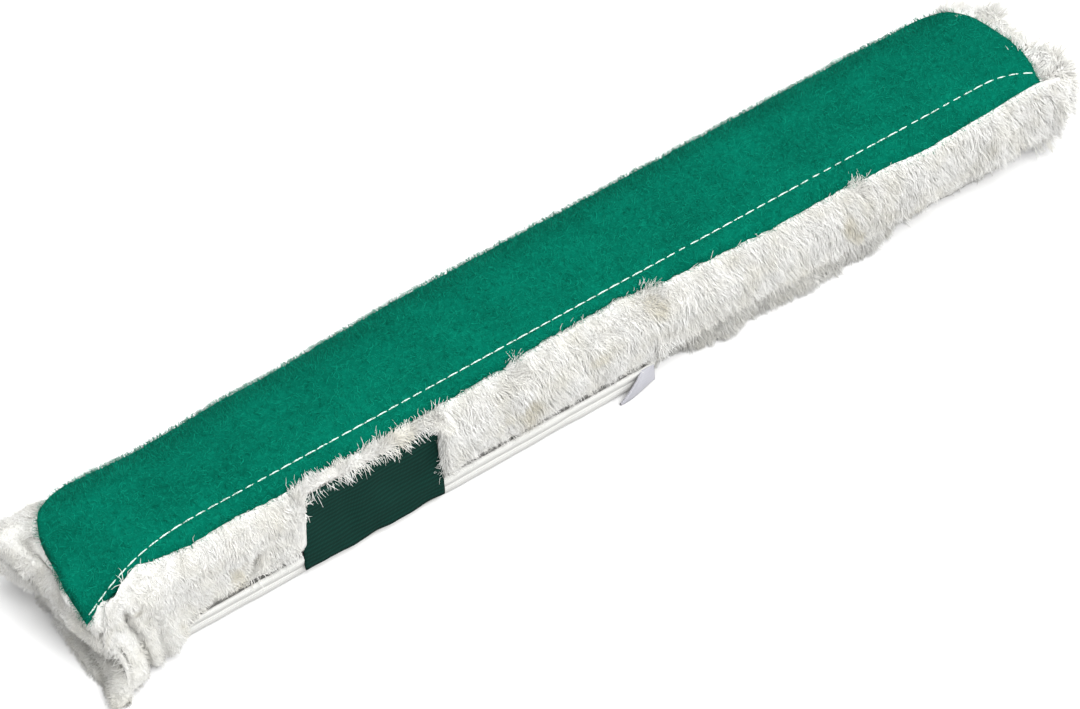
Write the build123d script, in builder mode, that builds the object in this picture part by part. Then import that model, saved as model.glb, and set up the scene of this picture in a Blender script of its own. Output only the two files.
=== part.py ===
from build123d import *
import math
import os

# A window scrubber's washer sleeve: a closed tube of white plush with a green scouring pad
# sewn along its top and back, a front flap that lifts to take a T-bar, and a sewn-in label.
# Millimetres. X runs along the sleeve, -Y is the front with the slit, +Z is up.
# The origin is at the middle of the resting face.

# Driving sizes
cloth_length = 344.0
sleeve_depth = 56.0
sleeve_height = 37.0
pad_length = 336.0
cloth_thickness = 1.2
fabric_gap = 0.3
overrun = 2.0

# Layers, from the outside in
pad_thickness = 4.4
bed_thickness = 3.3
foot_pile_thickness = 7.4
front_pile_thickness = 5.9
end_pile_length = 8.0
back_edge_height = 14.5
foot_radius = 13.5

# Hook-and-loop closure between the lips
strip_thickness = 1.4
strip_width = 10.0
strip_inset = 0.4
strip_end_margin = 2.0

# Slit and flap along the front
slit_height = 0.6
handle_gap_start = -50.0
handle_gap_length = 72.0
handle_gap_height = 5.0
flap_side_gap = 0.4
hinge_clearance = 0.3
hinge_height = 2.0
hinge_inset = 0.5

# Pad's near edge, which droops at its two ends
flange_reach = 9.0
flange_drop = 2.3
flange_edge_thickness = 3.2
flange_start_inset = 16.0
left_curl_length = 42.0
right_curl_length = 20.0
flap_end_setback = 23.8

# Half sizes and planes that the pieces share
half_cloth = cloth_length / 2
half_pad = pad_length / 2
half_depth = sleeve_depth / 2
back_radius = sleeve_height - back_edge_height
back_centre_y = half_depth - back_radius
back_centre_z = back_edge_height
pad_inner_radius = back_radius - pad_thickness
cloth_outer_radius = pad_inner_radius - bed_thickness
cloth_inner_radius = cloth_outer_radius - cloth_thickness
pad_under_z = sleeve_height - pad_thickness
cloth_top_z = pad_under_z - bed_thickness
cloth_bottom_z = foot_pile_thickness
fold_radius = back_centre_z - cloth_bottom_z
fold_y = back_centre_y + cloth_outer_radius - fold_radius
tube_end = half_cloth - cloth_thickness

# Front layers, from the pile's face inwards
front_cloth_outer_y = -half_depth + front_pile_thickness
front_cloth_inner_y = front_cloth_outer_y + cloth_thickness
loop_face_y = front_cloth_inner_y + strip_thickness
hook_face_y = loop_face_y + fabric_gap
lip_outer_y = hook_face_y + strip_thickness
lip_inner_y = lip_outer_y + cloth_thickness

# Heights along the front
slit_z = cloth_bottom_z + cloth_thickness
flap_bottom_z = slit_z + slit_height
strip_bottom_z = flap_bottom_z + strip_inset
strip_top_z = strip_bottom_z + strip_width
gap_top_z = slit_z + handle_gap_height
hinge_z = cloth_top_z + hinge_height
flap_top_z = hinge_z - hinge_clearance
hinge_y = front_cloth_outer_y + hinge_inset
gap_end = handle_gap_start + handle_gap_length
flap_start = handle_gap_start
flap_end = tube_end - flap_end_setback
flange_start_y = -half_depth + flange_start_inset


def save(piece, name):
    """Labels a finished piece and writes it as one STEP file."""
    piece.label = name
    os.makedirs("parts", exist_ok=True)
    export_step(piece, f"parts/{name}.step")


def span(start, end):
    """The plane square to X at start, and the length from there to end."""
    return Plane.YZ.offset(start), end - start


def gap_range(first, last, pitch):
    """Middles of the stitches that fit between first and last, centred."""
    count = int((last - first) / pitch)
    margin = (last - first - (count - 1) * pitch) / 2
    return [first + margin + index * pitch for index in range(count)]


# Thread of every seam
stitch_pitch = 4.0
stitch_length = 2.9
thread_radius = 0.4
thread_clearance = 0.15
thread_lift = thread_radius + thread_clearance


def stitch(length=stitch_length):
    """One visible stitch: a round-ended run of thread along X, centred on the origin."""
    straight = length / 2 - thread_radius
    with BuildPart() as thread:
        with BuildSketch(Plane.XY):
            with BuildLine():
                Line((-straight - thread_radius, 0), (straight + thread_radius, 0))
                CenterArc((straight, 0), thread_radius, 0, 90)
                Line((straight, thread_radius), (-straight, thread_radius))
                CenterArc((-straight, 0), thread_radius, 90, 90)
            make_face()
        revolve(axis=Axis.X)
    return thread.part


def seam(places, name, length=stitch_length):
    """Writes one node of stitches, each at its own location."""
    run = stitch(length)
    save(Compound(children=[place * run for place in places]), name)


# Ground cloth of the plush tube, open at the front
lip_corner_radius = 2.4

with BuildPart() as sleeve_cloth:
    start_plane, run_length = span(-tube_end, tube_end)
    with BuildSketch(start_plane):
        with BuildLine():
            top_end_y = front_cloth_inner_y + fabric_gap
            Line((top_end_y, cloth_top_z), (back_centre_y, cloth_top_z))
            CenterArc((back_centre_y, back_centre_z), cloth_outer_radius, 90, -90)
            CenterArc((fold_y, back_centre_z), fold_radius, 0, -90)
            Line((fold_y, cloth_bottom_z), (lip_outer_y + lip_corner_radius, cloth_bottom_z))
            CenterArc(
                (lip_outer_y + lip_corner_radius, cloth_bottom_z + lip_corner_radius),
                lip_corner_radius,
                -90,
                -90,
            )
            Line((lip_outer_y, cloth_bottom_z + lip_corner_radius), (lip_outer_y, strip_top_z))
            Line((lip_outer_y, strip_top_z), (lip_inner_y, strip_top_z))
            Line((lip_inner_y, strip_top_z), (lip_inner_y, cloth_bottom_z + lip_corner_radius))
            CenterArc(
                (lip_outer_y + lip_corner_radius, cloth_bottom_z + lip_corner_radius),
                lip_corner_radius - cloth_thickness,
                180,
                90,
            )
            Line((lip_outer_y + lip_corner_radius, slit_z), (fold_y, slit_z))
            CenterArc((fold_y, back_centre_z), fold_radius - cloth_thickness, -90, 90)
            CenterArc((back_centre_y, back_centre_z), cloth_inner_radius, 0, 90)
            Line(
                (back_centre_y, cloth_top_z - cloth_thickness),
                (top_end_y, cloth_top_z - cloth_thickness),
            )
            Line((top_end_y, cloth_top_z - cloth_thickness), (top_end_y, cloth_top_z))
        make_face()
    extrude(amount=run_length)
    # The upturned lip is cut away along the handle gap
    gap_plane, gap_run = span(handle_gap_start, gap_end)
    with BuildSketch(gap_plane):
        with Locations((lip_outer_y, slit_z)):
            Rectangle(
                2 * lip_corner_radius,
                strip_top_z,
                align=(Align.CENTER, Align.MIN),
            )
    extrude(amount=gap_run, mode=Mode.SUBTRACT)
save(sleeve_cloth.part, "sleeve_cloth")


# Cloth closing the two ends of the tube
def end_cloth(start):
    """The panel sewn into one end, with the tube's own outline."""
    with BuildPart() as panel:
        with BuildSketch(Plane.YZ.offset(start)):
            with BuildLine():
                Line((front_cloth_outer_y, cloth_top_z), (back_centre_y, cloth_top_z))
                CenterArc((back_centre_y, back_centre_z), cloth_outer_radius, 90, -90)
                CenterArc((fold_y, back_centre_z), fold_radius, 0, -90)
                Line((fold_y, cloth_bottom_z), (front_cloth_outer_y, cloth_bottom_z))
                Line((front_cloth_outer_y, cloth_bottom_z), (front_cloth_outer_y, cloth_top_z))
            make_face()
        extrude(amount=cloth_thickness)
    return panel.part


save(end_cloth(-half_cloth), "left_end_cloth")
save(end_cloth(tube_end), "right_end_cloth")

# Scouring pad over the top and round the back
left_curl_reach = 3.0
left_curl_drop = 4.2
right_curl_reach = 1.5
right_curl_drop = 2.4
left_corner_setback = 17.0
right_corner_setback = 6.0
curl_place_shares = (0.0, 0.4, 0.7, 1.0)
curl_depth_shares = (0.0, 0.14, 0.5, 1.0)


def flange_points(reach, drop):
    """The pad's near edge: top corner, under corner and radius of the top's curl."""
    radius = (reach**2 + drop**2) / (2 * drop)
    turn = math.asin(reach / radius)
    under_radius = radius - flange_edge_thickness
    top = (flange_start_y - reach, sleeve_height - drop)
    under = (
        flange_start_y - under_radius * math.sin(turn),
        sleeve_height - radius + under_radius * math.cos(turn),
    )
    return top, under, radius


def pad_section(place, reach, drop):
    """Sketches the pad's section on the plane square to X at place."""
    top, under, _ = flange_points(reach, drop)
    with BuildSketch(Plane.YZ.offset(place)) as section:
        with BuildLine():
            CenterArc((back_centre_y, back_centre_z), back_radius, 0, 90)
            Line((back_centre_y, sleeve_height), (flange_start_y, sleeve_height))
            TangentArc((flange_start_y, sleeve_height), top, tangent=(-1, 0))
            Line(top, under)
            TangentArc((flange_start_y, pad_under_z), under, tangent=(-1, 0))
            Line((flange_start_y, pad_under_z), (back_centre_y, pad_under_z))
            CenterArc((back_centre_y, back_centre_z), pad_inner_radius, 90, -90)
            Line(
                (back_centre_y + pad_inner_radius, back_centre_z),
                (half_depth, back_centre_z),
            )
        make_face()
    return section.sketch


def curl(side, place_share):
    """Station along one end of the pad: its x, and the flange's reach and drop there."""
    length, reach, drop = (
        (left_curl_length, left_curl_reach, left_curl_drop)
        if side < 0
        else (right_curl_length, right_curl_reach, right_curl_drop)
    )
    depth_share = curl_depth_shares[curl_place_shares.index(place_share)]
    place = side * (half_pad - length * (1 - place_share))
    return place, flange_reach + reach * depth_share, flange_drop + drop * depth_share


def pad_end(side):
    """The length of the pad over which its near edge droops towards one end."""
    with BuildPart() as length:
        loft([pad_section(*curl(side, share)) for share in curl_place_shares], ruled=True)
    return length.part


with BuildPart() as scouring_pad:
    straight_start = -half_pad + left_curl_length
    straight_end = half_pad - right_curl_length
    extrude(
        pad_section(straight_start, flange_reach, flange_drop),
        amount=straight_end - straight_start,
    )
    for side in (-1, 1):
        add(pad_end(side))
    # The back corners are trimmed round, so that plush shows beside them
    for side, setback in ((-1, left_corner_setback), (1, right_corner_setback)):
        corner_end = (side * (half_pad - setback), half_depth + overrun)
        with BuildSketch(Plane.XY.offset(back_centre_z - overrun)):
            with BuildLine():
                TangentArc((side * half_pad, back_centre_y), corner_end, tangent=(0, 1))
                Polyline(
                    corner_end,
                    (side * (half_pad + overrun), corner_end[1]),
                    (side * (half_pad + overrun), back_centre_y),
                    (side * half_pad, back_centre_y),
                )
            make_face()
        extrude(amount=back_radius + 2 * overrun, mode=Mode.SUBTRACT)
save(scouring_pad.part, "scouring_pad")

# Flattened plush that the pad is sewn down on
bed_setback = 9.5
bed_front_y = -half_depth + bed_setback
bed_front_thickness = 0.5

with BuildPart() as bed_pile:
    start_plane, run_length = span(-half_cloth, half_cloth)
    with BuildSketch(start_plane):
        with BuildLine():
            Line((bed_front_y, cloth_top_z), (back_centre_y, cloth_top_z))
            CenterArc((back_centre_y, back_centre_z), cloth_outer_radius, 90, -90)
            Line(
                (back_centre_y + cloth_outer_radius, back_centre_z),
                (back_centre_y + pad_inner_radius, back_centre_z),
            )
            CenterArc((back_centre_y, back_centre_z), pad_inner_radius, 0, 90)
            Line((back_centre_y, pad_under_z), (flange_start_y, pad_under_z))
            Line(
                (flange_start_y, pad_under_z),
                (bed_front_y, cloth_top_z + bed_front_thickness),
            )
            Line((bed_front_y, cloth_top_z + bed_front_thickness), (bed_front_y, cloth_top_z))
        make_face()
    extrude(amount=run_length)
save(bed_pile.part, "bed_pile")

# Plush under the sleeve and up its lower back, cut flat where it rests
foot_back_y = half_depth - strip_inset

with BuildPart() as bottom_pile:
    start_plane, run_length = span(-half_cloth, half_cloth)
    with BuildSketch(start_plane):
        with BuildLine():
            Line((lip_outer_y, 0), (foot_back_y - foot_radius, 0))
            CenterArc((foot_back_y - foot_radius, foot_radius), foot_radius, -90, 90)
            Line((foot_back_y, foot_radius), (foot_back_y, back_centre_z))
            Line(
                (foot_back_y, back_centre_z),
                (back_centre_y + cloth_outer_radius, back_centre_z),
            )
            CenterArc((fold_y, back_centre_z), fold_radius, 0, -90)
            Line((fold_y, cloth_bottom_z), (lip_outer_y, cloth_bottom_z))
            Line((lip_outer_y, cloth_bottom_z), (lip_outer_y, 0))
        make_face()
    extrude(amount=run_length)
save(bottom_pile.part, "bottom_pile")

# Plush fringe of the lower lip, right of the handle gap
lip_pile_setback = 2.5
lip_pile_front_y = -half_depth + lip_pile_setback
lip_pile_radius = 3.6
lip_pile_top_z = slit_z + strip_inset / 2

with BuildPart() as lip_pile:
    start_plane, run_length = span(gap_end + flap_side_gap, tube_end)
    with BuildSketch(start_plane):
        with BuildLine():
            Line((lip_outer_y, 0), (lip_pile_front_y + lip_pile_radius, 0))
            CenterArc(
                (lip_pile_front_y + lip_pile_radius, lip_pile_radius), lip_pile_radius, -90, -90
            )
            Line(
                (lip_pile_front_y, lip_pile_radius),
                (lip_pile_front_y, lip_pile_top_z - lip_pile_radius),
            )
            CenterArc(
                (lip_pile_front_y + lip_pile_radius, lip_pile_top_z - lip_pile_radius),
                lip_pile_radius,
                180,
                -90,
            )
            Line(
                (lip_pile_front_y + lip_pile_radius, lip_pile_top_z),
                (lip_outer_y, lip_pile_top_z),
            )
            Line((lip_outer_y, lip_pile_top_z), (lip_outer_y, 0))
        make_face()
    extrude(amount=run_length)
save(lip_pile.part, "lip_pile")

# Smooth rolled hem of the lower lip, left of the flap's closure
hem_setback = 3.4
hem_front_y = -half_depth + hem_setback
hem_base_z = 0.5
hem_radius = 3.2
hem_start = -half_cloth + cloth_thickness

with BuildPart() as lower_hem:
    start_plane, run_length = span(hem_start, gap_end)
    with BuildSketch(start_plane):
        with Locations(((hem_front_y + lip_outer_y) / 2, (hem_base_z + slit_z) / 2)):
            RectangleRounded(lip_outer_y - hem_front_y, slit_z - hem_base_z, hem_radius)
    extrude(amount=run_length)
save(lower_hem.part, "lower_hem")

# Loose end of the hem tape, a pull tab at the start of the closure
tab_width = 16.0
tab_thickness = 1.1
tab_lean = 12.0
tab_clearance = 0.25
tab_foot_z = 0.6
tab_outline_shares = ((1.0, 1.0), (1.0, 0.16), (0.5, 0.0), (0.0, 0.0), (0.7, 1.0))

with BuildPart() as pull_tab:
    tab_plane = Plane(
        origin=(gap_end - tab_width, hem_front_y - tab_clearance, slit_z),
        x_dir=(1, 0, 0),
        z_dir=(0, -1, 0),
    ).rotated((-tab_lean, 0, 0))
    tab_drop = (slit_z - tab_foot_z) / math.cos(math.radians(tab_lean))
    with BuildSketch(tab_plane):
        with BuildLine():
            Polyline(
                [(tab_width * across, -tab_drop * (1 - up)) for across, up in tab_outline_shares],
                close=True,
            )
        make_face()
    extrude(amount=tab_thickness)
save(pull_tab.part, "pull_tab")

# Seam allowance that closes the lips left of the handle gap
with BuildPart() as closing_seam_allowance:
    start_plane, run_length = span(-tube_end, handle_gap_start)
    with BuildSketch(start_plane):
        with Locations((lip_outer_y, strip_bottom_z)):
            Rectangle(
                lip_outer_y - front_cloth_inner_y, strip_width, align=(Align.MAX, Align.MIN)
            )
    extrude(amount=run_length)
save(closing_seam_allowance.part, "closing_seam_allowance")

# Front wall: its cloth and plush in the fixed stretches either side of the flap
wall_turn_radius = 3.0
pile_crown_radius = 5.4
pile_hem_radius = 3.0
fixed_stretches = (
    (-tube_end, flap_start - flap_side_gap),
    (flap_end + flap_side_gap, tube_end),
)

with BuildPart() as front_cloth:
    for first, last in fixed_stretches:
        start_plane, run_length = span(first, last)
        with BuildSketch(start_plane):
            with BuildLine():
                Line((front_cloth_outer_y, flap_bottom_z), (front_cloth_inner_y, flap_bottom_z))
                Line(
                    (front_cloth_inner_y, flap_bottom_z),
                    (front_cloth_inner_y, cloth_top_z),
                )
                Line(
                    (front_cloth_inner_y, cloth_top_z),
                    (front_cloth_outer_y, cloth_top_z - wall_turn_radius),
                )
                Line(
                    (front_cloth_outer_y, cloth_top_z - wall_turn_radius),
                    (front_cloth_outer_y, flap_bottom_z),
                )
            make_face()
        extrude(amount=run_length)
    # The pad's drooping corners lie over the cloth's top edge
    add(scouring_pad.part, mode=Mode.SUBTRACT)
save(front_cloth.part, "front_cloth")


def front_pile_run(first, last):
    """The plush on the front wall from first to last: crowned above, rounded below."""
    start_plane, run_length = span(first, last)
    with BuildPart() as run:
        with BuildSketch(start_plane):
            with BuildLine():
                crown_centre = (-half_depth + pile_crown_radius, flap_top_z - pile_crown_radius)
                hem_centre = (-half_depth + pile_hem_radius, flap_bottom_z + pile_hem_radius)
                Line((front_cloth_outer_y, flap_bottom_z), (hem_centre[0], flap_bottom_z))
                CenterArc(hem_centre, pile_hem_radius, -90, -90)
                Line((-half_depth, hem_centre[1]), (-half_depth, crown_centre[1]))
                CenterArc(crown_centre, pile_crown_radius, 180, -90)
                Line((crown_centre[0], flap_top_z), (front_cloth_outer_y, flap_top_z))
                Line((front_cloth_outer_y, flap_top_z), (front_cloth_outer_y, flap_bottom_z))
            make_face()
        extrude(amount=run_length)
    return run.part


# Label, hanging from its top edge in a shallow bed in the plush
label_width = 46.5
label_top_drop = 1.0
label_foot_drop = 5.0
label_top_cover = 1.7
label_foot_clearance = 0.6
label_thickness = 0.7
label_top_z = flap_top_z - label_top_drop
label_foot_z = slit_z - label_foot_drop
label_top_y = front_cloth_outer_y - label_top_cover
label_foot_y = hem_front_y - label_thickness - label_foot_clearance
label_gap_margin = 2.0
label_side_clearance = 1.0
label_end = handle_gap_start - label_gap_margin
label_start = label_end - label_width

with BuildPart() as label:
    start_plane, run_length = span(label_start, label_end)
    with BuildSketch(start_plane):
        with BuildLine():
            Polyline(
                (label_top_y, label_top_z),
                (label_foot_y, label_foot_z),
                (label_foot_y + label_thickness, label_foot_z),
                (label_top_y + label_thickness, label_top_z),
                close=True,
            )
        make_face()
    extrude(amount=run_length)
save(label.part, "label")

with BuildPart() as front_pile:
    for first, last in fixed_stretches:
        add(front_pile_run(first, last))
    # Bed that the label is pressed into
    bed_plane, bed_run = span(label_start - label_side_clearance, label_end + label_side_clearance)
    with BuildSketch(bed_plane):
        with BuildLine():
            bed_offset = label_thickness + fabric_gap
            slope = (label_foot_y - label_top_y) / (label_top_z - label_foot_z)
            bed_low_z = flap_bottom_z - overrun
            bed_low_y = label_top_y + bed_offset + slope * (label_top_z - bed_low_z)
            Polyline(
                (-half_depth - overrun, bed_low_z),
                (bed_low_y, bed_low_z),
                (label_top_y + bed_offset, flap_top_z + overrun),
                (-half_depth - overrun, flap_top_z + overrun),
                close=True,
            )
        make_face()
    extrude(amount=bed_run, mode=Mode.SUBTRACT)
    # The pad's curled corners press into the plush
    add(scouring_pad.part, mode=Mode.SUBTRACT)
save(front_pile.part, "front_pile")


# Flap: the front wall from the handle gap to near the right end, notched over the gap
with BuildPart() as notch:
    start_plane, run_length = span(flap_start - overrun, gap_end)
    with BuildSketch(start_plane):
        with Locations((front_cloth_inner_y + overrun, gap_top_z)):
            Rectangle(half_depth + overrun, gap_top_z, align=(Align.MAX, Align.MAX))
    extrude(amount=run_length)

with BuildPart() as flap_cloth:
    start_plane, run_length = span(flap_start, flap_end)
    with BuildSketch(start_plane):
        with Locations((front_cloth_outer_y, flap_bottom_z)):
            Rectangle(
                cloth_thickness, cloth_top_z - flap_bottom_z, align=(Align.MIN, Align.MIN)
            )
    extrude(amount=run_length)
    add(notch.part, mode=Mode.SUBTRACT)
save(flap_cloth.part, "flap_cloth")

with BuildPart() as flap_pile:
    add(front_pile_run(flap_start, flap_end))
    add(notch.part, mode=Mode.SUBTRACT)
save(flap_pile.part, "flap_pile")

# Hem tape inside the flap, above the handle gap
gap_tape_width = 6.0
gap_tape_thickness = 0.9

with BuildPart() as flap_hem_tape:
    start_plane, run_length = span(flap_start, gap_end)
    with BuildSketch(start_plane):
        with Locations((front_cloth_inner_y, gap_top_z)):
            Rectangle(gap_tape_thickness, gap_tape_width, align=(Align.MIN, Align.MIN))
    extrude(amount=run_length)
save(flap_hem_tape.part, "flap_hem_tape")

# Hook strip on the lower lip, and loop strip inside the flap
strip_start = gap_end + strip_end_margin
strip_end = flap_end - strip_end_margin


def closure_strip(face_y):
    """One half of the closure, from face_y inwards by its thickness."""
    with BuildPart() as strip:
        start_plane, run_length = span(strip_start, strip_end)
        with BuildSketch(start_plane):
            with Locations((face_y, strip_bottom_z)):
                Rectangle(strip_thickness, strip_width, align=(Align.MIN, Align.MIN))
        extrude(amount=run_length)
    return strip.part


save(closure_strip(hook_face_y), "hook_strip")
save(closure_strip(front_cloth_inner_y), "loop_strip")

# Plush over the two ends
end_front_setback = 1.5
end_back_setback = 1.2
end_top_drop = 3.0
end_front_y = -half_depth + end_front_setback
end_back_y = half_depth - end_back_setback
end_top_z = sleeve_height - end_top_drop
end_front_low_radius = 6.0
end_back_low_radius = 13.0
end_front_high_radius = 9.0
end_back_straight = 2.0
end_back_high_radius = end_top_z - end_back_low_radius - end_back_straight
end_corner_radii = (
    end_front_low_radius,
    end_back_low_radius,
    end_back_high_radius,
    end_front_high_radius,
)
end_place_shares = (0.0, 0.55, 0.85, 1.0)
end_inset_shares = (0.0, 0.08, 0.22, 0.45)


def end_outline(place, inset):
    """Sketches the end plush, drawn in by inset, on the plane square to X at place."""
    front_low, back_low, back_high, front_high = (
        radius - inset for radius in end_corner_radii
    )
    front, back = end_front_y + inset, end_back_y - inset
    low, high = inset, end_top_z - inset
    with BuildSketch(Plane.YZ.offset(place)) as outline:
        with BuildLine():
            Line((front + front_low, low), (back - back_low, low))
            CenterArc((back - back_low, low + back_low), back_low, -90, 90)
            Line((back, low + back_low), (back, high - back_high))
            CenterArc((back - back_high, high - back_high), back_high, 0, 90)
            Line((back - back_high, high), (front + front_high, high))
            CenterArc((front + front_high, high - front_high), front_high, 90, 90)
            Line((front, high - front_high), (front, low + front_low))
            CenterArc((front + front_low, low + front_low), front_low, 180, 90)
        make_face()
    return outline.sketch


def end_pile(side):
    """The tuft of plush over one end, drawn in as it goes outwards."""
    with BuildPart() as tuft:
        stations = [
            end_outline(
                side * (half_cloth + end_pile_length * place_share),
                end_pile_length * inset_share,
            )
            for place_share, inset_share in zip(end_place_shares, end_inset_shares)
        ]
        loft(stations, ruled=True)
    return tuft.part


save(end_pile(-1), "left_end_pile")
save(end_pile(1), "right_end_pile")

# Seam along the pad's near edge, which runs out to its corners
pad_seam_inset = 5.0
pad_seam_end_margin = 3.0
corner_seam_inset = 1.6


def flange_at(place):
    """The flange's reach and drop at x = place, as the pad's stations give them."""
    stations = sorted(
        curl(side, place_share) for side in (-1, 1) for place_share in curl_place_shares
    )
    for (x0, reach0, drop0), (x1, reach1, drop1) in zip(stations, stations[1:]):
        if place <= x1:
            share = max(0.0, (place - x0) / (x1 - x0))
            return reach0 + share * (reach1 - reach0), drop0 + share * (drop1 - drop0)
    return stations[-1][1], stations[-1][2]


def pad_seam_point(place):
    """A point of the seam on the pad's top at x = place, and the tilt of the pad there."""
    reach, drop = flange_at(place)
    _, _, radius = flange_points(reach, drop)
    curl_share = (reach - flange_reach) / (left_curl_reach if place < 0 else right_curl_reach)
    inset = pad_seam_inset + (corner_seam_inset - pad_seam_inset) * curl_share
    across = reach - inset
    tilt = math.asin(across / radius)
    ride = radius + thread_lift
    return Vector(
        place,
        flange_start_y - ride * math.sin(tilt),
        sleeve_height - radius + ride * math.cos(tilt),
    )


def along(start, end):
    """Location midway between two points, with its X axis from the first to the second."""
    return Plane(origin=(start + end) / 2, x_dir=end - start, z_dir=(end - start).cross(
        Vector(0, 1, 0)
    )).location


half_stitch = stitch_length / 2
seam(
    [
        along(pad_seam_point(middle - half_stitch), pad_seam_point(middle + half_stitch))
        for middle in gap_range(
            -half_pad + pad_seam_end_margin, half_pad - pad_seam_end_margin, stitch_pitch
        )
    ],
    "pad_front_stitching",
)

# Seam along the pad's rear edge, round the back
rear_seam_turn = 20.0
rear_ride = back_radius + thread_lift
rear_seam_y = back_centre_y + rear_ride * math.cos(math.radians(rear_seam_turn))
rear_seam_z = back_centre_z + rear_ride * math.sin(math.radians(rear_seam_turn))
seam(
    [
        Location((middle, rear_seam_y, rear_seam_z))
        for middle in gap_range(
            -half_pad + left_corner_setback + pad_seam_end_margin,
            half_pad - right_corner_setback - pad_seam_end_margin,
            stitch_pitch,
        )
    ],
    "pad_rear_stitching",
)

# Seams inside the two ends, along the top and the bottom
end_seam_inset = 1.2


def end_seam(side, name):
    """Two rows of stitches on the inner face of one end panel."""
    face_x = side * (tube_end - thread_lift)
    rows = (
        slit_z + end_seam_inset,
        cloth_top_z - cloth_thickness - end_seam_inset,
    )
    seam(
        [
            Location((face_x, middle, height), (0, 0, 90))
            for height in rows
            for middle in gap_range(
                lip_inner_y + end_seam_inset, back_centre_y + end_seam_inset, stitch_pitch
            )
        ],
        name,
    )


end_seam(-1, "left_end_stitching")
end_seam(1, "right_end_stitching")

# Seam that closes the lips left of the handle gap, and the hook strip's two seams
lip_seam_y = lip_inner_y + thread_lift
seam_end_margin = 2.0
strip_seam_inset = 1.6
seam(
    [
        Location((middle, lip_seam_y, (strip_bottom_z + strip_top_z) / 2))
        for middle in gap_range(
            -tube_end + seam_end_margin, handle_gap_start - seam_end_margin, stitch_pitch
        )
    ],
    "closing_seam_stitching",
)
seam(
    [
        Location((middle, lip_seam_y, height))
        for height in (strip_bottom_z + strip_seam_inset, strip_top_z - strip_seam_inset)
        for middle in gap_range(strip_start, strip_end, stitch_pitch)
    ],
    "hook_strip_stitching",
)

# The loop strip's seam, just above it inside the flap
seam(
    [
        Location((middle, front_cloth_inner_y + thread_lift, strip_top_z + thread_lift))
        for middle in gap_range(strip_start, strip_end, stitch_pitch)
    ],
    "loop_strip_stitching",
)

# The label's seam, along its top edge
label_stitch_pitch = 3.2
label_stitch_length = 2.2
label_seam_drop = 1.2
label_seam_y = (
    label_top_y
    + (label_foot_y - label_top_y) * label_seam_drop / (label_top_z - label_foot_z)
    - thread_lift
)
seam(
    [
        Location((middle, label_seam_y, label_top_z - label_seam_drop))
        for middle in gap_range(
            label_start + label_side_clearance, label_end - label_side_clearance, label_stitch_pitch
        )
    ],
    "label_stitching",
    label_stitch_length,
)

# Bar tacks on the lower hem at the two ends of the handle gap
tack_rows = 4
tack_pitch = 0.95
tack_height = 4.4
tack_inset = 2.6
tack_z = (hem_base_z + slit_z) / 2
seam(
    [
        Location(
            (end_x + side * (tack_inset + row * tack_pitch), hem_front_y - thread_lift, tack_z),
            (0, 90, 0),
        )
        for end_x, side in ((handle_gap_start, 1), (gap_end - tab_width, -1))
        for row in range(tack_rows)
    ],
    "bar_tacks",
    tack_height,
)

print("hinge of the flap: y", round(hinge_y, 3), "z", round(hinge_z, 3))
print("hinge of the label: y", label_top_y, "z", label_top_z)
print("pocket: y", lip_inner_y, "z", slit_z, "to", cloth_top_z - cloth_thickness)
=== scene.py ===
"""A window scrubber's washer sleeve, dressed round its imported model."""

import logging
import math
from collections.abc import Callable, Sequence
from dataclasses import dataclass, field
from enum import Enum
from typing import NamedTuple

import bmesh
import bpy
import numpy as np
from bpy.types import Material, Mesh, NodeTree, Object
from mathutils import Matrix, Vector, noise


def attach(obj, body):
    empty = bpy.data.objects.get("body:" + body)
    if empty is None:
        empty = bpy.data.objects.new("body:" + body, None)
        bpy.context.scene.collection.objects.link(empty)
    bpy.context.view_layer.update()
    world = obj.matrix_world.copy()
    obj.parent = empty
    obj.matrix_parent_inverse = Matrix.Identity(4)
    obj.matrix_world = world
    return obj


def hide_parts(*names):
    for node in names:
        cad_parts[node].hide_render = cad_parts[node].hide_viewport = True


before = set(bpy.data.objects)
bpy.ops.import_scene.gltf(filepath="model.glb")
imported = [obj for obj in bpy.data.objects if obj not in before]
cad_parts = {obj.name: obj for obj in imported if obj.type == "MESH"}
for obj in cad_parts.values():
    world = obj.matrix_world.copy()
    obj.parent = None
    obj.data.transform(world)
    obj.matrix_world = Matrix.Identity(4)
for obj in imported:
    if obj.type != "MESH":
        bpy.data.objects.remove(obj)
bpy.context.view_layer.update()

log = logging.getLogger("sleeve")
MM = 0.001
MERGE_DISTANCE = 0.00001
Point = tuple[float, float, float]
Flat = tuple[float, float]
# Spot, X direction and Z direction of a stitch or hook
Place = tuple[Point, Point, Point]
# Share of the full cover, way to comb and share of the full length at a point
Growth = tuple[float, Vector, float]
Steer = Callable[[Vector, Vector], Growth]
BARE: Growth = (0.0, Vector(), 1.0)
# Middles of the two rounds at the back of the sleeve's section, y and z
BACK_CENTRE: Flat = (5.5, 14.5)
LOW_CENTRE: Flat = (13.2, 14.5)


# Node trees


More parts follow.
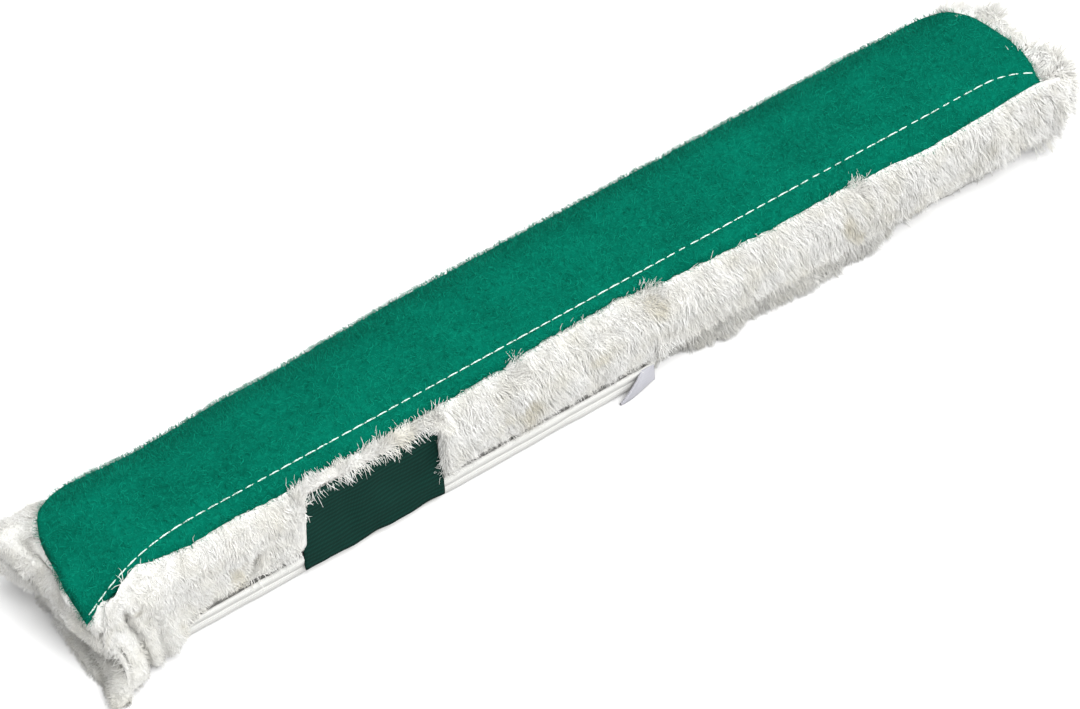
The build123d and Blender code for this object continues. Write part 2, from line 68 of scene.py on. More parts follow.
NOISE, WAVE, RANGE = "ShaderNodeTexNoise", "ShaderNodeTexWave", "ShaderNodeMapRange"
MIX, BUMP, ATTRIBUTE = "ShaderNodeMix", "ShaderNodeBump", "ShaderNodeAttribute"
MATH, VECTOR_MATH, RANDOM = "ShaderNodeMath", "ShaderNodeVectorMath", "FunctionNodeRandomValue"
READ, STORE = "GeometryNodeInputNamedAttribute", "GeometryNodeStoreNamedAttribute"
REALIZE, SET_MATERIAL = "GeometryNodeRealizeInstances", "GeometryNodeSetMaterial"
ADD, SUBTRACT, MULTIPLY, DIVIDE, MAXIMUM, SCALE, NORMALIZE = (
    {"operation": name}
    for name in ("ADD", "SUBTRACT", "MULTIPLY", "DIVIDE", "MAXIMUM", "SCALE", "NORMALIZE")
)
COLOUR, NUMBER, VECTOR = ({"data_type": kind} for kind in ("RGBA", "FLOAT", "FLOAT_VECTOR"))
# A wave texture repeats every 0.314 of its scaled coordinate
WAVE_REPEAT = 0.314


class Node(NamedTuple):
    """One node of a table.

    An input written "@name" is fed by the first output of the node of that name, and one
    written "@name.output" by its output of that name or number.
    """

    name: str
    kind: str
    inputs: dict[str | int, object]
    settings: dict[str, object] = {}


PLACE = Node("place", "ShaderNodeTexCoord", {})


def feed(
    tree: NodeTree, node: bpy.types.Node, inputs: dict[str | int, object]
) -> None:
    """Sets inputs of a node, or links them to earlier nodes.

    Args:
        tree: Node tree that holds the node.
        node: The node.
        inputs: Input socket to its value, or to the "@name.output" that feeds it.
    """
    for key, value in inputs.items():
        if isinstance(value, str) and value.startswith("@"):
            name, _, output = value[1:].partition(".")
            output = int(output or 0) if output.isdigit() or not output else output
            tree.links.new(tree.nodes[name].outputs[output], node.inputs[key])
        else:
            node.inputs[key].default_value = value


def add_node(tree: NodeTree, wanted: Node) -> None:
    """Adds a node with its settings, values and links."""
    node = tree.nodes.new(wanted.kind)
    node.name = wanted.name
    for name, value in wanted.settings.items():
        setattr(node, name, value)
    feed(tree, node, wanted.inputs)


def linear(hex_colour: str) -> tuple[float, float, float, float]:
    """Turns an sRGB hex colour into the linear RGBA that a shader socket takes.

    Args:
        hex_colour: Colour as "#rrggbb".

    Returns:
        Linear red, green, blue and an alpha of 1.
    """
    parts = [int(hex_colour[i : i + 2], 16) / 255 for i in (1, 3, 5)]
    turned = [c / 12.92 if c <= 0.04045 else ((c + 0.055) / 1.055) ** 2.4 for c in parts]
    return (*turned, 1.0)


def new_material(
    name: str, nodes: Sequence[Node], shader: dict[str | int, object]
) -> Material:
    """Makes a material from a table of nodes.

    Args:
        name: What the real material is.
        nodes: Its nodes, each after those that feed it.
        shader: Values and links of the shader's own inputs.

    Returns:
        The material.
    """
    made = bpy.data.materials.new(name)
    made.use_nodes = True
    for node in nodes:
        add_node(made.node_tree, node)
    feed(made.node_tree, made.node_tree.nodes["Principled BSDF"], shader)
    return made


# Small helpers


def smooth_step(low: float, high: float, value: float) -> float:
    """Rises smoothly from 0 at low to 1 at high."""
    share = min(1.0, max(0.0, (value - low) / (high - low)))
    return share * share * (3 - 2 * share)


def ripple(x: float, y: float, z: float, size: float, seed: float = 0.0) -> float:
    """Smooth noise from -1 to 1 at a point in millimetres, with lumps of about size.

    Each use has a seed of its own, so that no two patterns fall together.
    """
    return noise.noise(Vector((x / size + seed, y / size - seed, z / size + 2 * seed)))


def bell(gap: float, width: float) -> float:
    """1 where the gap is 0, and smoothly down to 0 at a few widths."""
    return math.exp(-((gap / width) ** 2))


def crease(x: float, y: float, z: float, size: float, seed: float) -> float:
    """1 along the soft creases of a field of lumps, 0 between them."""
    return bell(ripple(x, y, z, size, seed), 0.12)


def between(table: Sequence[Flat], place: float) -> float:
    """Reads a table of places and values, straight between its rows."""
    places, values = zip(*table)
    return float(np.interp(place, places, values))


def make_piece(
    name: str,
    points: Sequence[Point],
    faces: Sequence[Sequence[int]],
    material: Material,
) -> Object:
    """Makes a smooth-shaded mesh object at the origin.

    Args:
        name: Name of the piece.
        points: Vertices in millimetres.
        faces: Vertex indices of each face.
        material: Finish of the whole piece.

    Returns:
        The new object, linked to the scene.
    """
    mesh = bpy.data.meshes.new(name)
    mesh.from_pydata([(x * MM, y * MM, z * MM) for x, y, z in points], [], faces)
    mesh.update()
    mesh.shade_smooth()
    mesh.materials.append(material)
    piece = bpy.data.objects.new(name, mesh)
    bpy.context.scene.collection.objects.link(piece)
    return piece


def bake_modifiers(piece: Object) -> None:
    """Turns a piece and its modifiers into a plain mesh."""
    graph = bpy.context.evaluated_depsgraph_get()
    graph.update()
    mesh = bpy.data.meshes.new_from_object(
        piece.evaluated_get(graph), preserve_all_data_layers=True, depsgraph=graph
    )
    old = piece.data
    piece.modifiers.clear()
    piece.data = mesh
    mesh.name = piece.name
    bpy.data.meshes.remove(old)


def outward(piece: Object) -> None:
    """Merges doubled points and turns all faces outwards."""
    shape = bmesh.new()
    shape.from_mesh(piece.data)
    bmesh.ops.remove_doubles(shape, verts=shape.verts, dist=MERGE_DISTANCE)
    bmesh.ops.recalc_face_normals(shape, faces=shape.faces)
    shape.to_mesh(piece.data)
    shape.free()


def settle(piece: Object, body: str, material_slot: str, *nodes: str) -> Object:
    """Puts a finished piece on its body, in place of the nodes that it stands for.

    Args:
        piece: The finished piece.
        body: Body that it moves with.
        material_slot: Not used.
        *nodes: CAD nodes that it replaces.

    Returns:
        The same piece.
    """
    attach(piece, body)
    if nodes:
        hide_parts(*nodes)
    log.info("%s rides on %s", piece.name, body)
    return piece


def store(mesh: Mesh, name: str, values: np.ndarray) -> None:
    """Writes a number or a vector at each vertex, for a node tree to read."""
    kind, key = ("FLOAT", "value") if values.ndim == 1 else ("FLOAT_VECTOR", "vector")
    mesh.attributes.new(name, kind, "POINT").data.foreach_set(key, values.ravel())


def thicken(piece: Object, thickness: float) -> None:
    """Gives a face its thickness in millimetres, half to each side, as a plain mesh."""
    solid = piece.modifiers.new("thickness", "SOLIDIFY")
    solid.thickness, solid.offset = thickness * MM, 0.0
    bake_modifiers(piece)
    outward(piece)


def quads(spans: int, size: int, closed: bool = False) -> list[tuple[int, ...]]:
    """Faces between rows of points, each row joined to the next.

    Args:
        spans: Number of rows, less one.
        size: Points in a row.
        closed: Whether a row's last point joins its first.

    Returns:
        The faces' vertex indices.
    """
    faces = []
    for i in range(spans):
        for j in range(size if closed else size - 1):
            k = (j + 1) % size
            faces.append((i * size + j, i * size + k, (i + 1) * size + k, (i + 1) * size + j))
    return faces


def hung_cloth(
    name: str,
    across: int,
    down: int,
    place: Callable[[float, float], Point],
    thickness: float,
    material: Material,
) -> Object:
    """A small cloth that is placed point by point.

    Args:
        name: Name of the piece.
        across: Spans along its top.
        down: Spans down from its top.
        place: Takes the shares across and down, and gives the point in millimetres.
        thickness: Thickness in millimetres.
        material: Its cloth.

    Returns:
        The cloth.
    """
    points = [place(i / across, j / down) for i in range(across + 1) for j in range(down + 1)]
    cloth = make_piece(name, points, quads(across, down + 1), material)
    thicken(cloth, thickness)
    return cloth


def arc(centre: Flat, radius: float, start: float, turn: float, steps: int) -> list[Flat]:
    """Points of an arc in the plane square to X.

    Args:
        centre: Its centre, y and z.
        radius: Its radius.
        start: First angle in degrees, from +Y towards +Z.
        turn: Angle that it covers.
        steps: Number of spans.

    Returns:
        The arc's points, ends included.
    """
    angles = [math.radians(start + turn * i / steps) for i in range(steps + 1)]
    return [
        (centre[0] + radius * math.cos(a), centre[1] + radius * math.sin(a)) for a in angles
    ]


def run(start: Flat, end: Flat, step: float) -> list[Flat]:
    """Evenly spaced points from start up to, but not including, end."""
    count = max(1, round(math.dist(start, end) / step))
    return [
        (start[0] + (end[0] - start[0]) * i / count, start[1] + (end[1] - start[1]) * i / count)
        for i in range(count)
    ]


def length_of(line: Sequence[Flat]) -> float:
    """Length of a line through points."""
    return sum(math.dist(a, b) for a, b in zip(line, line[1:]))


# How far the empty sleeve's back has sunk at places along X, in millimetres
SAG: tuple[Flat, ...] = (
    (-170, 2.0), (-145, 2.4), (-133, 3.2), (-119, 4.2), (-106, 3.2), (-92, 2.1), (-79, 2.2),
    (-65, 1.5), (-51, 0.8), (-35, 0),
)


def sagged(x: float, y: float) -> float:
    """How far the empty sleeve's back has sunk at a place, in millimetres."""
    return between(SAG, x) * smooth_step(-8, 20, y)


def slumped(point: Vector) -> Vector:
    """Where a point of the cloth or pile ends up once the empty sleeve has sagged.

    Args:
        point: A point of the straight model, in millimetres.

    Returns:
        The point as the sleeve really lies.
    """
    x, y, z = point
    left, right = smooth_step(144, 180, -x), smooth_step(148, 180, x)
    low, back = smooth_step(21, 4, z), smooth_step(6, 22, y)
    foot = smooth_step(9, 0, z)
    lobe = 1.5 * ripple(y, z, 0, 11, 39.0) * left
    inward = left * (11.8 - 7.5 * back * (1 - low) + 8.0 * low - 6.0 * foot * (1 - back))
    inward -= 6.8 * left * smooth_step(-21, -35, y)
    inward -= right * (3.2 * back + 5.0 * low + 7.0 * foot)
    inward -= 3.8 * right * smooth_step(-18, -4, y) * (1 - 0.5 * low)
    return Vector((x + inward + lobe, y, z - sagged(x, y) * smooth_step(2, 20, z)))


# Finishes


@dataclass(frozen=True)
class PlushFinish:
    """Polyester pile, cut and brushed: bright matt white, a little translucent, painted shade where
    deep.

    The roots are painted greyer than the tips, a painted shade that gives the soft grey crevices.
    """

    name: str = "polyester_plush"
    tip: str = "#fafaf8"
    # Painted shade: the roots are painted this greyer colour
    root: str = "#deddd9"
    tint: str = "#edebe2"
    stain: str = "#e0dbca"
    # Painted shade in folds, at the foot and on the fringe under the flap
    deep: str = "#b9b8b2"
    roughness: float = 0.9
    patches_per_m: float = 130.0
    spots_per_m: float = 70.0
    streak_mm: float = 0.35
    base_only: bool = False

    def _depth(self) -> list[Node]:
        """Nodes of depth for the painted root shade: 1 at the tips and 0 at the roots."""
        if not self.base_only:
            return [Node("depth", ATTRIBUTE, {}, {"attribute_name": "tip"})]
        # Combed fibres lie mostly up and down, so the streaks of painted root shade are five times
        # as long in Z
        streaks = {"Scale": 1 / (self.streak_mm * MM), "Detail": 3.0, "Distortion": 0.8}
        return [
            Node("combed", VECTOR_MATH, {0: "@place.Object", 1: (1.0, 1.0, 0.2)}, MULTIPLY),
            Node("streaks", NOISE, {"Vector": "@combed"} | streaks),
            Node("depth", RANGE, {"Value": "@streaks.Fac", "From Min": 0.3, "From Max": 0.65}),
            Node("bump", BUMP, {"Height": "@depth", "Strength": 0.7, "Distance": 0.5 * MM}),
        ]

    def material(self) -> Material:
        """Builds the material, which reads the fibres' own attributes."""
        depth = "@depth" if self.base_only else "@depth.Fac"
        patches = {"Scale": self.patches_per_m, "Detail": 3.0}
        spots = {"Scale": self.spots_per_m, "Detail": 1.0}
        nodes = [
            PLACE,
            Node("patch", NOISE, {"Vector": "@place.Object"} | patches),
            Node("tinted", RANGE, {"Value": "@patch.Fac", "From Min": 0.42, "From Max": 0.72}),
            Node("body", MIX, {0: "@tinted", 6: linear(self.tip), 7: linear(self.tint)}, COLOUR),
            # A few yellowish spots, where dye and size gather in real pile
            Node("spots", NOISE, {"Vector": "@place.Object"} | spots),
            Node("spotted", RANGE, {"Value": "@spots.Fac", "From Min": 0.64, "From Max": 0.74}),
            Node("worn", MIX, {0: "@spotted", 6: "@body.2", 7: linear(self.stain)}, COLOUR),
            *self._depth(),
            # Painted shade: grey at the roots, the tips' colour at the tips
            Node("lit", MIX, {0: depth, 6: linear(self.root), 7: "@worn.2"}, COLOUR),
            # Painted shade: pile deep in a fold, at the foot and on the fringe under the flap is
            # painted grey
            Node("fold", ATTRIBUTE, {}, {"attribute_name": "deep"}),
            Node("shade", MIX, {0: "@fold.Fac", 6: "@lit.2", 7: linear(self.deep)}, COLOUR),
        ]
        shader = {
            "Base Color": "@shade.2",
            "Roughness": self.roughness,
            "Specular IOR Level": 0.2,
            "Sheen Weight": 0.15,
            "Sheen Roughness": 0.6,
        }
        if self.base_only:
            shader["Normal"] = "@bump.Normal"
        return new_material(self.name, nodes, shader)


@dataclass(frozen=True)
class NonwovenFinish:
    """Scouring nonwoven: resin-bonded nylon fibres, matt green, with paler and darker flecks."""

    name: str = "resin_bonded_nonwoven"
    deep: str = "#005443"
    mid: str = "#00604d"
    pale: str = "#0b8168"
    fleck_share: float = 0.6
    clouds_per_m: float = 60.0
    flecks_per_m: float = 1000.0
    fibre: bool = False

    def material(self) -> Material:
        """Builds the material: fleck colours from noise, or from each fibre's own value."""
        # Fibres of about 0.1 mm would not show, so the flecks are about 0.7 mm wide
        flecks = {"Scale": self.flecks_per_m, "Detail": 3.0, "Distortion": 1.5}
        clouds = {"Scale": self.clouds_per_m, "Detail": 4.0}
        share = {"From Min": 0.46, "From Max": 0.8, "To Max": self.fleck_share}
        amount = Node("amount", RANGE, {"Value": "@flecks.Fac"} | share)
        if self.fibre:
            amount = Node("amount", ATTRIBUTE, {}, {"attribute_name": "shade"})
        colours = {0: "@amount.Fac" if self.fibre else "@amount", 7: linear(self.pale)}
        nodes = [
            PLACE,
            Node("cloud", NOISE, {"Vector": "@place.Object"} | clouds),
            Node("ground", "ShaderNodeValToRGB", {"Fac": "@cloud.Fac"}),
            Node("flecks", NOISE, {"Vector": "@place.Object"} | flecks),
            amount,
            Node("mix", MIX, colours | {6: "@ground.Color"}, COLOUR),
            Node("bump", BUMP, {"Height": "@flecks.Fac", "Strength": 0.7, "Distance": 0.6 * MM}),
        ]
        shader = {
            "Base Color": "@mix.2",
            "Roughness": 1.0,
            "Specular IOR Level": 0.03,
            "Normal": "@bump.Normal",
        }
        made = new_material(self.name, nodes, shader)
        steps = made.node_tree.nodes["ground"].color_ramp.elements
        steps[0].position, steps[0].color = 0.35, linear(self.deep)
        steps[1].position, steps[1].color = 0.68, linear(self.mid)
        return made


class Weave(Enum):
    """How a cloth's threads cross, as the spacing share of weft to warp."""

    PLAIN = 1.0
    SATIN = 3.0
    KNIT = 1.6


@dataclass(frozen=True)
class WovenFinish:
    """Woven or knitted cloth: threads over and under, which show as a fine raised grid."""

    name: str
    colour: str
    shadow: str
    thread_mm: float = 0.6
    weave: Weave = Weave.PLAIN
    roughness: float = 0.8
    sheen: float = 0.1
    shine: float = 0.15
    bump_mm: float = 0.12
    mottle: float = 0.35
    mottle_per_m: float = 90.0

    def material(self) -> Material:
        """Builds the material from two crossing waves and a soft mottle."""
        place, scale = "@place.Object", WAVE_REPEAT / (self.thread_mm * MM)
        warp = {"Vector": place, "Scale": scale, "Distortion": 0.6, "Detail": 1.0}
        weft = {"Vector": place, "Scale": scale / self.weave.value, "Distortion": 0.6}
        relief = {"Height": "@height", "Strength": 0.8, "Distance": self.bump_mm * MM}
        nodes = [
            PLACE,
            Node("warp", WAVE, warp, {"bands_direction": "X"}),
            Node("weft", WAVE, weft, {"bands_direction": "Z"}),
            Node("height", MATH, {0: "@warp.Fac", 1: "@weft.Fac"}, MULTIPLY),
            Node("cloud", NOISE, {"Vector": place, "Scale": self.mottle_per_m, "Detail": 4.0}),
            Node("mottle", MATH, {0: "@cloud.Fac", 1: self.mottle}, MULTIPLY),
            Node("both", MATH, {0: "@height", 1: "@mottle"}, ADD | {"use_clamp": True}),
            Node("mix", MIX, {0: "@both", 6: linear(self.shadow), 7: linear(self.colour)}, COLOUR),
            Node("bump", BUMP, relief),
        ]
        shader = {
            "Base Color": "@mix.2",
            "Roughness": self.roughness,
            "Specular IOR Level": self.shine,
            "Sheen Weight": self.sheen,
            "Normal": "@bump.Normal",
        }
        return new_material(self.name, nodes, shader)


@dataclass(frozen=True)
class ThreadFinish:
    """Spun polyester sewing thread: white, two-ply, with a faint twist."""

    name: str = "spun_polyester_thread"
    colour: str = "#dcf0e7"
    shadow: str = "#c3d6ce"
    twist_mm: float = 0.7

    def material(self) -> Material:
        """Builds the material with its ply as slanting bands."""
        ply = {"Scale": WAVE_REPEAT / (self.twist_mm * MM), "Distortion": 1.0}
        colours = {6: linear(self.shadow), 7: linear(self.colour)}
        nodes = [
            PLACE,
            Node("ply", WAVE, {"Vector": "@place.Object"} | ply, {"bands_direction": "DIAGONAL"}),
            Node("mix", MIX, {0: "@ply.Fac"} | colours, COLOUR),
            Node("bump", BUMP, {"Height": "@ply.Fac", "Strength": 0.6, "Distance": 0.1 * MM}),
        ]
        shader = {"Base Color": "@mix.2", "Roughness": 0.6, "Normal": "@bump.Normal"}
        return new_material(self.name, nodes, shader)


# What grows on a surface or runs along a seam


@dataclass
class NamedTree:
    """A Geometry Nodes tree with named inputs, built once and run on many pieces."""

    tree: NodeTree = field(init=False)
    sockets: dict[str, str] = field(init=False, default_factory=dict)

    def fill(
        self, name: str, inputs: Sequence[tuple[str, str, float | None]], nodes: Sequence[Node]
    ) -> None:
        """Builds the tree.

        Args:
            name: Its name.
            inputs: Name, kind and default value of each input that follows the geometry.
            nodes: Its nodes, each after those that feed it.
        """
        self.tree = bpy.data.node_groups.new(name, "GeometryNodeTree")
        face = self.tree.interface
        for way in ("INPUT", "OUTPUT"):
            face.new_socket("Geometry", in_out=way, socket_type="NodeSocketGeometry")
        for label, kind, default in inputs:
            socket = face.new_socket(label, in_out="INPUT", socket_type=f"NodeSocket{kind}")
            if default is not None:
                socket.default_value = default
            self.sockets[label] = socket.identifier
        for node in nodes:
            add_node(self.tree, node)

    def apply(
        self, piece: Object, values: dict[str, object], spent: Sequence[str]
    ) -> None:
        """Runs the tree on a piece and leaves its result as a plain mesh.

        Args:
            piece: The piece.
            values: Values of the tree's inputs.
            spent: Attributes that only the tree needs, which are dropped.
        """
        modifier = piece.modifiers.new("tree", "NODES")
        modifier.node_group = self.tree
        for name, value in values.items():
            modifier[self.sockets[name]] = value
        bake_modifiers(piece)
        for name in spent:
            if name in piece.data.attributes:
                piece.data.attributes.remove(piece.data.attributes[name])


FIBRE_INPUTS = (
    ("Fibres", "Float", 4.0e6),
    ("Length", "Float", 6.0 * MM),
    ("Length Spread", "Float", 0.3),
    ("Root Radius", "Float", 0.12 * MM),
    ("Tip Share", "Float", 0.25),
    ("Splay", "Float", 0.4),
    ("Clump Size", "Float", 2.5 * MM),
    ("Clump Pull", "Float", 0.5),
    ("Bow", "Float", 0.25),
    ("Droop", "Float", 0.1),
    ("Floor", "Float", 0.05 * MM),
    ("Seed", "Int", None),
    ("Finish", "Material", None),
)


@dataclass
class FibreTree(NamedTree):
    """The Geometry Nodes tree that grows tapered, clumped, bowed fibres on a mesh.

    The mesh's own attributes steer it: cover is the share of the full density, comb is added
    to the normal, and reach scales the length.
    """

    points: int = 4

    def __post_init__(self) -> None:
        """Builds the tree once."""
        nodes = [Node("given", "NodeGroupInput", {})]
        nodes += [
            Node(name, READ, {"Name": name}, kind)
            for name, kind in (
                ("cover", NUMBER), ("comb", VECTOR), ("reach", NUMBER), ("root", VECTOR),
                ("grow", VECTOR), ("pull", VECTOR), ("bow", VECTOR), ("sag", NUMBER),
            )
        ]
        nodes += [*self._scatter(), *self._keep(), *self._draw(), *self._sweep()]
        self.fill(f"grow_fibres_{self.points}", FIBRE_INPUTS, nodes)

    def _scatter(self) -> list[Node]:
        """Sets the roots, and works out each fibre's length, way, clump and bow."""
        span = {0: (-1.0, -1.0, -1.0), 1: (1.0, 1.0, 1.0)}
        roots = {"Mesh": "@given.Geometry", "Density": "@density", "Seed": "@given.Seed"}
        return [
            Node("density", MATH, {0: "@given.Fibres", 1: "@cover"}, MULTIPLY),
            Node(
                "scatter", "GeometryNodeDistributePointsOnFaces", roots,
                {"distribute_method": "RANDOM"},
            ),
            Node("here", "GeometryNodeInputPosition", {}),
            Node("any_way", RANDOM, span | {"Seed": "@given.Seed"}, VECTOR),
            Node("bow_seed", MATH, {0: "@given.Seed", 1: 7.0}, ADD),
            Node("any_bow", RANDOM, span | {"Seed": "@bow_seed"}, VECTOR),
            Node("chance_seed", MATH, {0: "@given.Seed", 1: 3.0}, ADD),
            Node("chance", RANDOM, {2: -1.0, 3: 1.0, "Seed": "@chance_seed"}, NUMBER),
            Node("shade_seed", MATH, {0: "@given.Seed", 1: 5.0}, ADD),
            Node("shade", RANDOM, {2: 0.0, 3: 1.0, "Seed": "@shade_seed"}, NUMBER),
            Node("reached", MATH, {0: "@given.Length", 1: "@reach"}, MULTIPLY),
            Node("varied", MATH, {0: "@chance.1", 1: "@given.Length Spread"}, MULTIPLY),
            Node("stretch", MATH, {0: 1.0, 1: "@varied"}, ADD),
            Node("length", MATH, {0: "@reached", 1: "@stretch"}, MULTIPLY),
            Node("combed", VECTOR_MATH, {0: "@scatter.Normal", 1: "@comb"}, ADD),
            Node("splayed", VECTOR_MATH, {0: "@any_way", "Scale": "@given.Splay"}, SCALE),
            Node("leaning", VECTOR_MATH, {0: "@combed", 1: "@splayed"}, ADD),
            Node("way", VECTOR_MATH, {0: "@leaning"}, NORMALIZE),
            Node("clumps", MATH, {0: 1.0, 1: "@given.Clump Size"}, DIVIDE),
            Node(
                "cell", "ShaderNodeTexVoronoi", {"Vector": "@here", "Scale": "@clumps"},
                {"feature": "F1"},
            ),
            Node("to_cell", VECTOR_MATH, {0: "@cell.Position", 1: "@here"}, SUBTRACT),
            Node("pulled", VECTOR_MATH, {0: "@to_cell", "Scale": "@given.Clump Pull"}, SCALE),
            Node("grown", VECTOR_MATH, {0: "@way", "Scale": "@length"}, SCALE),
            Node("bow_length", MATH, {0: "@length", 1: "@given.Bow"}, MULTIPLY),
            Node("bowed", VECTOR_MATH, {0: "@any_bow", "Scale": "@bow_length"}, SCALE),
            Node("drooped", MATH, {0: "@length", 1: "@given.Droop"}, MULTIPLY),
        ]

    def _keep(self) -> list[Node]:
        """Stores each fibre's facts on its root, and sets a line of points there."""
        nodes, last = [], "@scatter.Points"
        for name, value, kind in (
            ("root", "@here", VECTOR), ("grow", "@grown", VECTOR), ("pull", "@pulled", VECTOR),
            ("bow", "@bowed", VECTOR), ("sag", "@drooped", NUMBER), ("shade", "@shade.1", NUMBER),
        ):
            fact = {"Geometry": last, "Name": name, "Value": value}
            nodes.append(Node(f"keep_{name}", STORE, fact, kind | {"domain": "POINT"}))
            last = f"@keep_{name}"
        return [
            *nodes,
            Node("line", "GeometryNodeCurvePrimitiveLine", {}),
            Node("split", "GeometryNodeResampleCurve", {"Curve": "@line", "Count": self.points}),
            Node("placed", "GeometryNodeInstanceOnPoints", {"Points": last, "Instance": "@split"}),
            Node("loose", REALIZE, {"Geometry": "@placed"}),
        ]

    def _draw(self) -> list[Node]:
        """Bends each line from its root along its way, never lower than the floor."""
        return [
            Node("spline", "GeometryNodeSplineParameter", {}),
            Node("squared", MATH, {0: "@spline.Factor", 1: "@spline.Factor"}, MULTIPLY),
            Node("rest", MATH, {0: 1.0, 1: "@spline.Factor"}, SUBTRACT),
            Node("arch", MATH, {0: "@spline.Factor", 1: "@rest"}, MULTIPLY),
            Node("full_arch", MATH, {0: "@arch", 1: 4.0}, MULTIPLY),
            Node("out", VECTOR_MATH, {0: "@grow", "Scale": "@spline.Factor"}, SCALE),
            Node("straight", VECTOR_MATH, {0: "@root", 1: "@out"}, ADD),
            Node("inwards", VECTOR_MATH, {0: "@pull", "Scale": "@squared"}, SCALE),
            Node("sideways", VECTOR_MATH, {0: "@bow", "Scale": "@full_arch"}, SCALE),
            Node("aside", VECTOR_MATH, {0: "@inwards", 1: "@sideways"}, ADD),
            Node("spot", VECTOR_MATH, {0: "@straight", 1: "@aside"}, ADD),
            Node("parts", "ShaderNodeSeparateXYZ", {0: "@spot"}),
            Node("sunk", MATH, {0: "@sag", 1: "@squared"}, MULTIPLY),
            Node("height", MATH, {0: "@parts.2", 1: "@sunk"}, SUBTRACT),
            Node("kept_up", MATH, {0: "@height", 1: "@given.Floor"}, MAXIMUM),
            Node("final", "ShaderNodeCombineXYZ", {0: "@parts.0", 1: "@parts.1", 2: "@kept_up"}),
            Node("bent", "GeometryNodeSetPosition", {"Geometry": "@loose", "Position": "@final"}),
        ]

    def _sweep(self) -> list[Node]:
        """Turns the lines into tapered three-sided fibres of the given finish."""
        tip = {"Geometry": "@bent", "Name": "tip", "Value": "@spline.Factor"}
        section = {"Profile Curve": "@ring", "Scale": "@thick", "Fill Caps": True}
        finish = {"Geometry": "@whole", "Material": "@given.Finish"}
        return [
            Node("marked", STORE, tip, NUMBER | {"domain": "POINT"}),
            Node("lost", MATH, {0: 1.0, 1: "@given.Tip Share"}, SUBTRACT),
            Node("narrowed", MATH, {0: "@squared", 1: "@lost"}, MULTIPLY),
            Node("taper", MATH, {0: 1.0, 1: "@narrowed"}, SUBTRACT),
            Node("thick", MATH, {0: "@given.Root Radius", 1: "@taper"}, MULTIPLY),
            Node("thinned", "GeometryNodeSetCurveRadius", {"Curve": "@marked", "Radius": "@thick"}),
            Node("ring", "GeometryNodeCurvePrimitiveCircle", {"Resolution": 3, "Radius": 1.0}),
            Node("swept", "GeometryNodeCurveToMesh", {"Curve": "@thinned"} | section),
            Node("whole", REALIZE, {"Geometry": "@swept"}),
            Node("finished", SET_MATERIAL, finish),
            Node("result", "NodeGroupOutput", {"Geometry": "@finished"}),
        ]


class Coat(Enum):
    """Kinds of fibre that the sleeve wears, as values for the tree's named inputs.

    Real pile is 0.03 mm thick. Fibres are drawn as the fine wisps that they gather into.
    """

    PLUSH = {
        "Fibres": 5.0e6, "Length": 3.4 * MM, "Root Radius": 0.12 * MM, "Splay": 0.45,
        "Clump Size": 3.8 * MM, "Clump Pull": 0.3, "Bow": 0.14, "Droop": 0.1,
    }
    SOFT = {
        "Fibres": 4.2e6, "Length": 1.25 * MM, "Root Radius": 0.1 * MM, "Splay": 0.4,
        "Clump Size": 2.6 * MM, "Clump Pull": 0.15, "Bow": 0.15, "Droop": 0.1,
    }
    LOCKS = {
        "Fibres": 4.2e6, "Length": 4.2 * MM, "Root Radius": 0.15 * MM, "Splay": 0.18,
        "Clump Size": 4.0 * MM, "Clump Pull": 0.97, "Bow": 0.1, "Droop": 0.1,
    }
    SCOUR = {
        "Fibres": 0.6e6, "Length": 1.9 * MM, "Root Radius": 0.06 * MM, "Splay": 0.5,
        "Clump Size": 6.0 * MM, "Clump Pull": 0.02, "Bow": 0.4, "Droop": 0.0,
        "Tip Share": 0.6,
    }
    LOOPS = {
        "Fibres": 3.0e6, "Length": 1.6 * MM, "Root Radius": 0.06 * MM, "Splay": 0.9,
        "Clump Size": 1.5 * MM, "Clump Pull": 0.1, "Bow": 0.6, "Droop": 0.0, "Tip Share": 0.8,
    }


